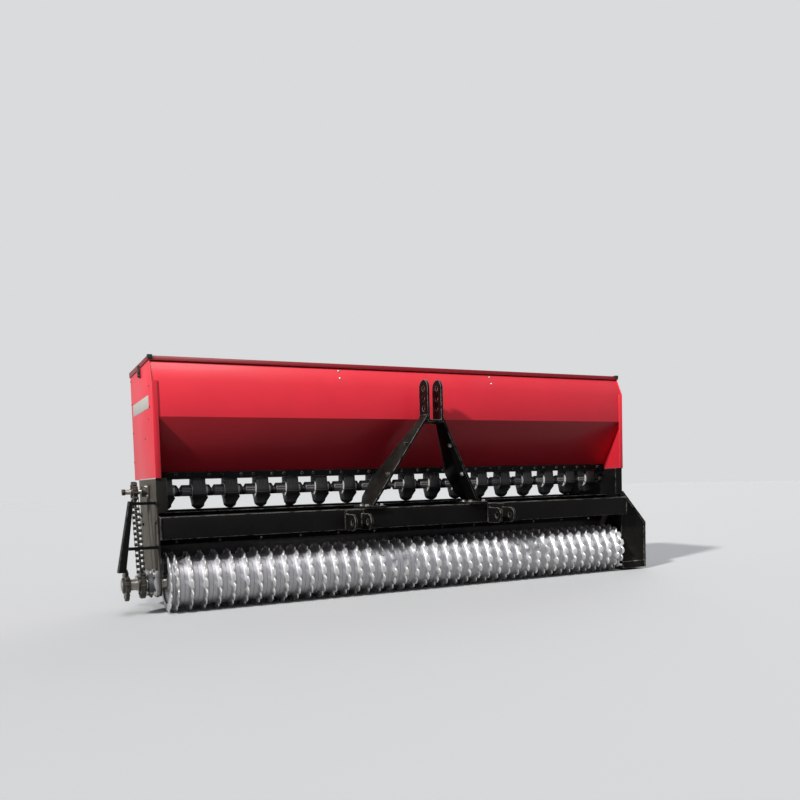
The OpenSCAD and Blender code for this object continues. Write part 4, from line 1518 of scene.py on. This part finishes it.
@dataclass
class HopperFittings:
    """What sits on the hopper and round it: strips, latches, label, bar caps, a dark skirt of painted shade
    and lid trim.
    """

    # The section, as (y, z), of a dark skirt below the seed deflector: painted shade, a sheet put
    # where there is only shade between the toolbar and the front rings.
    skirt: Sequence[Pair] = (
        (88.3, 326.2), (100.2, 303.1), (101.5, 296), (112, 237),
        (115.2, 237.4), (104.8, 297), (103.4, 304.6), (91.2, 327.6),
    )
    # The pressed ribs of the lid: three in a row, in four rows from the front.
    rib_starts: Sequence[float] = (-1230, -390, 450)
    rib_length: float = 780
    rib_width: float = 28
    rib_front: float = 20
    rib_pitch: float = 150

    def build(self) -> None:
        """Builds the fittings of the hopper, the bar's caps and the lid's fittings."""
        self.seat_strips()
        self.caps_and_shade_skirt()
        self.latches()
        self.label()
        self.lid_fittings()

    @staticmethod
    def seat_strips() -> None:
        """Strips that show between the end panels and the end plates."""
        low, high = span("hopper_end_right")
        strips = [
            block("strip", (x + left, low.y + 4, low.z - 3), (x + right, high.y - 150, low.z + 1.5), 0.5)
            for x, left, right in ((-high.x, -0.5, 0.5), (high.x, -2.5, 1.5))
        ]
        fit(joined("seat_strips", strips), "machine", SHOP.rim)

    def caps_and_shade_skirt(self) -> None:
        """Plastic caps in the bar's ends, and a dark skirt of painted shade below the seed deflector."""
        board, board_top = span("seed_deflector")
        bar, bar_top = span("toolbar")
        caps = [
            side_block("cap", s, (bar_top.x - 8, bar.y + 6, bar.z + 6),
                       (bar_top.x, bar_top.y - 6, bar_top.z - 6))
            for s in (-1, 1)
        ]
        fit(joined("toolbar_caps", caps), "machine", SHOP.cup)
        # Painted shade: this black sheet stands for the shade under the toolbar, above the front rings.
        skirt = cut_plate("deflector_skirt", self.skirt, Axis.X, board.x + 4, board_top.x - 4, 0.6)
        fit(skirt, "machine", SHOP.cup)

    @staticmethod
    def latches() -> None:
        """A plate, a pin and a wire bow on each end panel."""
        x = span("hopper_end_right")[1].x
        parts = []
        for s in (-1, 1):
            bow = [(s * (x + 9), y, z) for y, z in ((200, 1098), (200, 1148), (222, 1148), (222, 1098))]
            parts += [
                side_block("latch_plate", s, (x, 194, 1090), (x + 4, 228, 1130)),
                bent_rod("latch_bow", bow, 2.5, 6),
                turned("latch_pin", (s * x, 211, 1098), [(s * 3, 6), (s * 13, 6)], steps=14),
            ]
        fit(joined("lid_latches", parts), "machine", SHOP.black)

    @staticmethod
    def label() -> None:
        """The blank label on the left end panel."""
        x = span("hopper_end_right")[1].x
        fit(block("blank_label", (-x - 0.9, 4, 930), (-x + 0.2, 488, 988), 0.4), "machine", SHOP.label)

    def lid_fittings(self) -> None:
        """Rubber corners on the lid's front edge, and ribs pressed into its sheet."""
        low, high = span("lid")
        corners = [
            side_block("corner", s, (high.x - 20, low.y - 1.6, 1142), (high.x + 1.6, low.y + 20, 1161), 1.5)
            for s in (-1, 1)
        ]
        fit(joined("lid_corners", corners), "lid", SHOP.cup)
        top = span("hopper_rear")[1].z + 4.3
        ribs = [
            block("rib", (x, y, top - 1), (x + self.rib_length, y + self.rib_width, top + 4), 2.4)
            for y in (self.rib_front + self.rib_pitch * i for i in range(4)) for x in self.rib_starts
        ]
        fit(joined("lid_ribs", ribs), "lid", SHOP.maroon)


@dataclass(frozen=True)
class Lamp:
    """A distant lamp: where its light comes from, its strength and its width in degrees."""

    name: str
    source: Point
    strength: float
    angle: float


@dataclass
class Studio:
    """Plain pale floor, a low sun from the left, and the camera at the photograph's place.

    A weak, wide fill comes from behind, and a stronger one from above the front.
    """

    camera_at: Point = (-1916.5, -3656.3, 566.9)
    yaw: float = -0.461
    pitch: float = -0.059
    roll: float = 0.028
    focal_px: float = 780.0
    frame_px: float = 800.0
    centre_y_px: float = 528.0
    lamps: tuple[Lamp, ...] = (
        Lamp("sun_light", (-0.77, -0.32, 0.56), 4.6, 4.0),
        Lamp("fill_light", (0.6, 0.7, 0.5), 0.8, 40.0),
        Lamp("front_fill_light", (-0.1, -0.42, 0.9), 1.6, 20.0),
    )

    def camera(self) -> None:
        """Places the camera found from the photograph."""
        turn = Matrix.Rotation(self.yaw, 3, "Z") @ Matrix.Rotation(self.pitch, 3, "X")
        turn = turn @ Matrix.Rotation(self.roll, 3, "Y")
        right, ahead, up = turn.col
        bpy.ops.object.camera_add(location=at(*self.camera_at))
        camera = bpy.context.object
        camera.name = "photo_camera"
        rows = Matrix((right, up, -ahead)).transposed()
        camera.rotation_euler = rows.to_euler()
        camera.data.sensor_width = 36
        camera.data.lens = self.focal_px / self.frame_px * 36
        camera.data.shift_y = (self.centre_y_px - self.frame_px / 2) / self.frame_px
        camera.data.clip_end = 100
        bpy.context.scene.camera = camera

    def floor(self) -> None:
        """A pale floor that shows its colour to the camera and throws little light back up."""
        bpy.ops.mesh.primitive_plane_add(size=80)
        ground = named("floor")
        mix = Mix("pale_floor")
        path = add_node(mix.tree, "LightPath").outputs
        seen = mix.maths("MAXIMUM", path["Is Camera Ray"], path["Is Glossy Ray"])
        ground.data.materials.append(
            mix.finished({"Base Color": mix.blend(seen, "#262626", "#A4A4A3"), "Roughness": 0.9})
        )

    def light(self) -> None:
        """Hangs the lamps."""
        for lamp in self.lamps:
            source = Vector(lamp.source)
            bpy.ops.object.light_add(type="SUN", location=source * 8)
            light = bpy.context.object
            light.name = lamp.name
            light.data.energy = lamp.strength
            light.data.angle = math.radians(lamp.angle)
            light.rotation_euler = source.to_track_quat("Z", "Y").to_euler()

    @staticmethod
    def surround() -> None:
        """A sky that is dim near the horizon, and pale to the camera and in what shines."""
        world = bpy.data.worlds.new("surround")
        bpy.context.scene.world = world
        world.use_nodes = True
        tree = world.node_tree

        def blend(share: bpy.types.NodeSocket, first: object, second: str) -> bpy.types.NodeSocket:
            """Mixes two colours of the sky by a share of the second."""
            inputs = {"Fac": share, "Color1": first, "Color2": second}
            return add_node(tree, "MixRGB", inputs).outputs["Color"]

        direction = add_node(tree, "TexCoord").outputs["Generated"]
        up = add_node(tree, "SeparateXYZ", {"Vector": direction}).outputs["Z"]
        path = add_node(tree, "LightPath").outputs
        sky = blend(up, "#46494D", "#BCC4D0")
        shine = blend(path["Is Glossy Ray"], sky, "#BFC3C8")
        colour = blend(path["Is Camera Ray"], shine, "#DADBDC")
        put(tree, tree.nodes["Background"], {"Color": colour, "Strength": 1.0})

    def build(self) -> None:
        """Sets the stage."""
        self.camera()
        self.floor()
        self.light()
        self.surround()


def main() -> None:
    logging.basicConfig(level=logging.INFO, format="%(message)s")
    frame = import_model()
    bpy.context.scene.view_settings.view_transform = "Standard"
    record = frame["record"]
    slots = {part["node"]: part["material_slot"] for part in record["subparts"]}
    bodies = {node: body for body, nodes in record["behaviour"]["bodies"].items() for node in nodes}
    finishes = {
        finish.slot: finish
        for finish in (SHOP.black, SHOP.red, SHOP.maroon, SHOP.zinc, SHOP.cup, SHOP.rim, SHOP.flute,
                       SHOP.bright, SHOP.primer, SHOP.chain)
    }
    # The left end plate gets the finish with a painted sheen on its sideways faces.
    own = {"end_plate_left": SHOP.dusty, "feed_bearings": SHOP.dull}
    own |= dict.fromkeys(("toolbar", "frame_leg_left", "frame_leg_right", "mast_head", "hitch_clevis_left",
                          "hitch_clevis_right", "drive_cover"), SHOP.worn)
    Studio().build()
    plating = Plating(frame["nodes"], bodies)
    for node in sorted(set(slots) - {"front_rings", "rear_rings", "drive_chain"}):
        plating.eased_node(node, own.get(node, finishes[slots[node]]))
    RingRoller(
        "front_roller_rings", "front_roller", "front_rings", SHOP.front_ring, FRONT_AXLE,
        tip=FRONT_TIP, base=FRONT_BASE, teeth=16, count=41, closed_ends=True,
    ).build()
    RingRoller(
        "rear_roller_rings", "rear_roller", "rear_rings", SHOP.rear_ring, REAR_AXLE,
        tip=REAR_TIP, base=REAR_BASE, teeth=13, count=40, closed_ends=False,
    ).build()
    cups = [i * CUP_PITCH for i in range(9)] + [-BEARING_GAP - i * CUP_PITCH for i in range(1, 9)]
    MeteringRow(cups).build()
    Fixings(cups).build()
    Welds().build()
    RollerChain().build()
    ShaftFittings().build()
    HopperFittings().build()


if __name__ == "__main__":
    main()
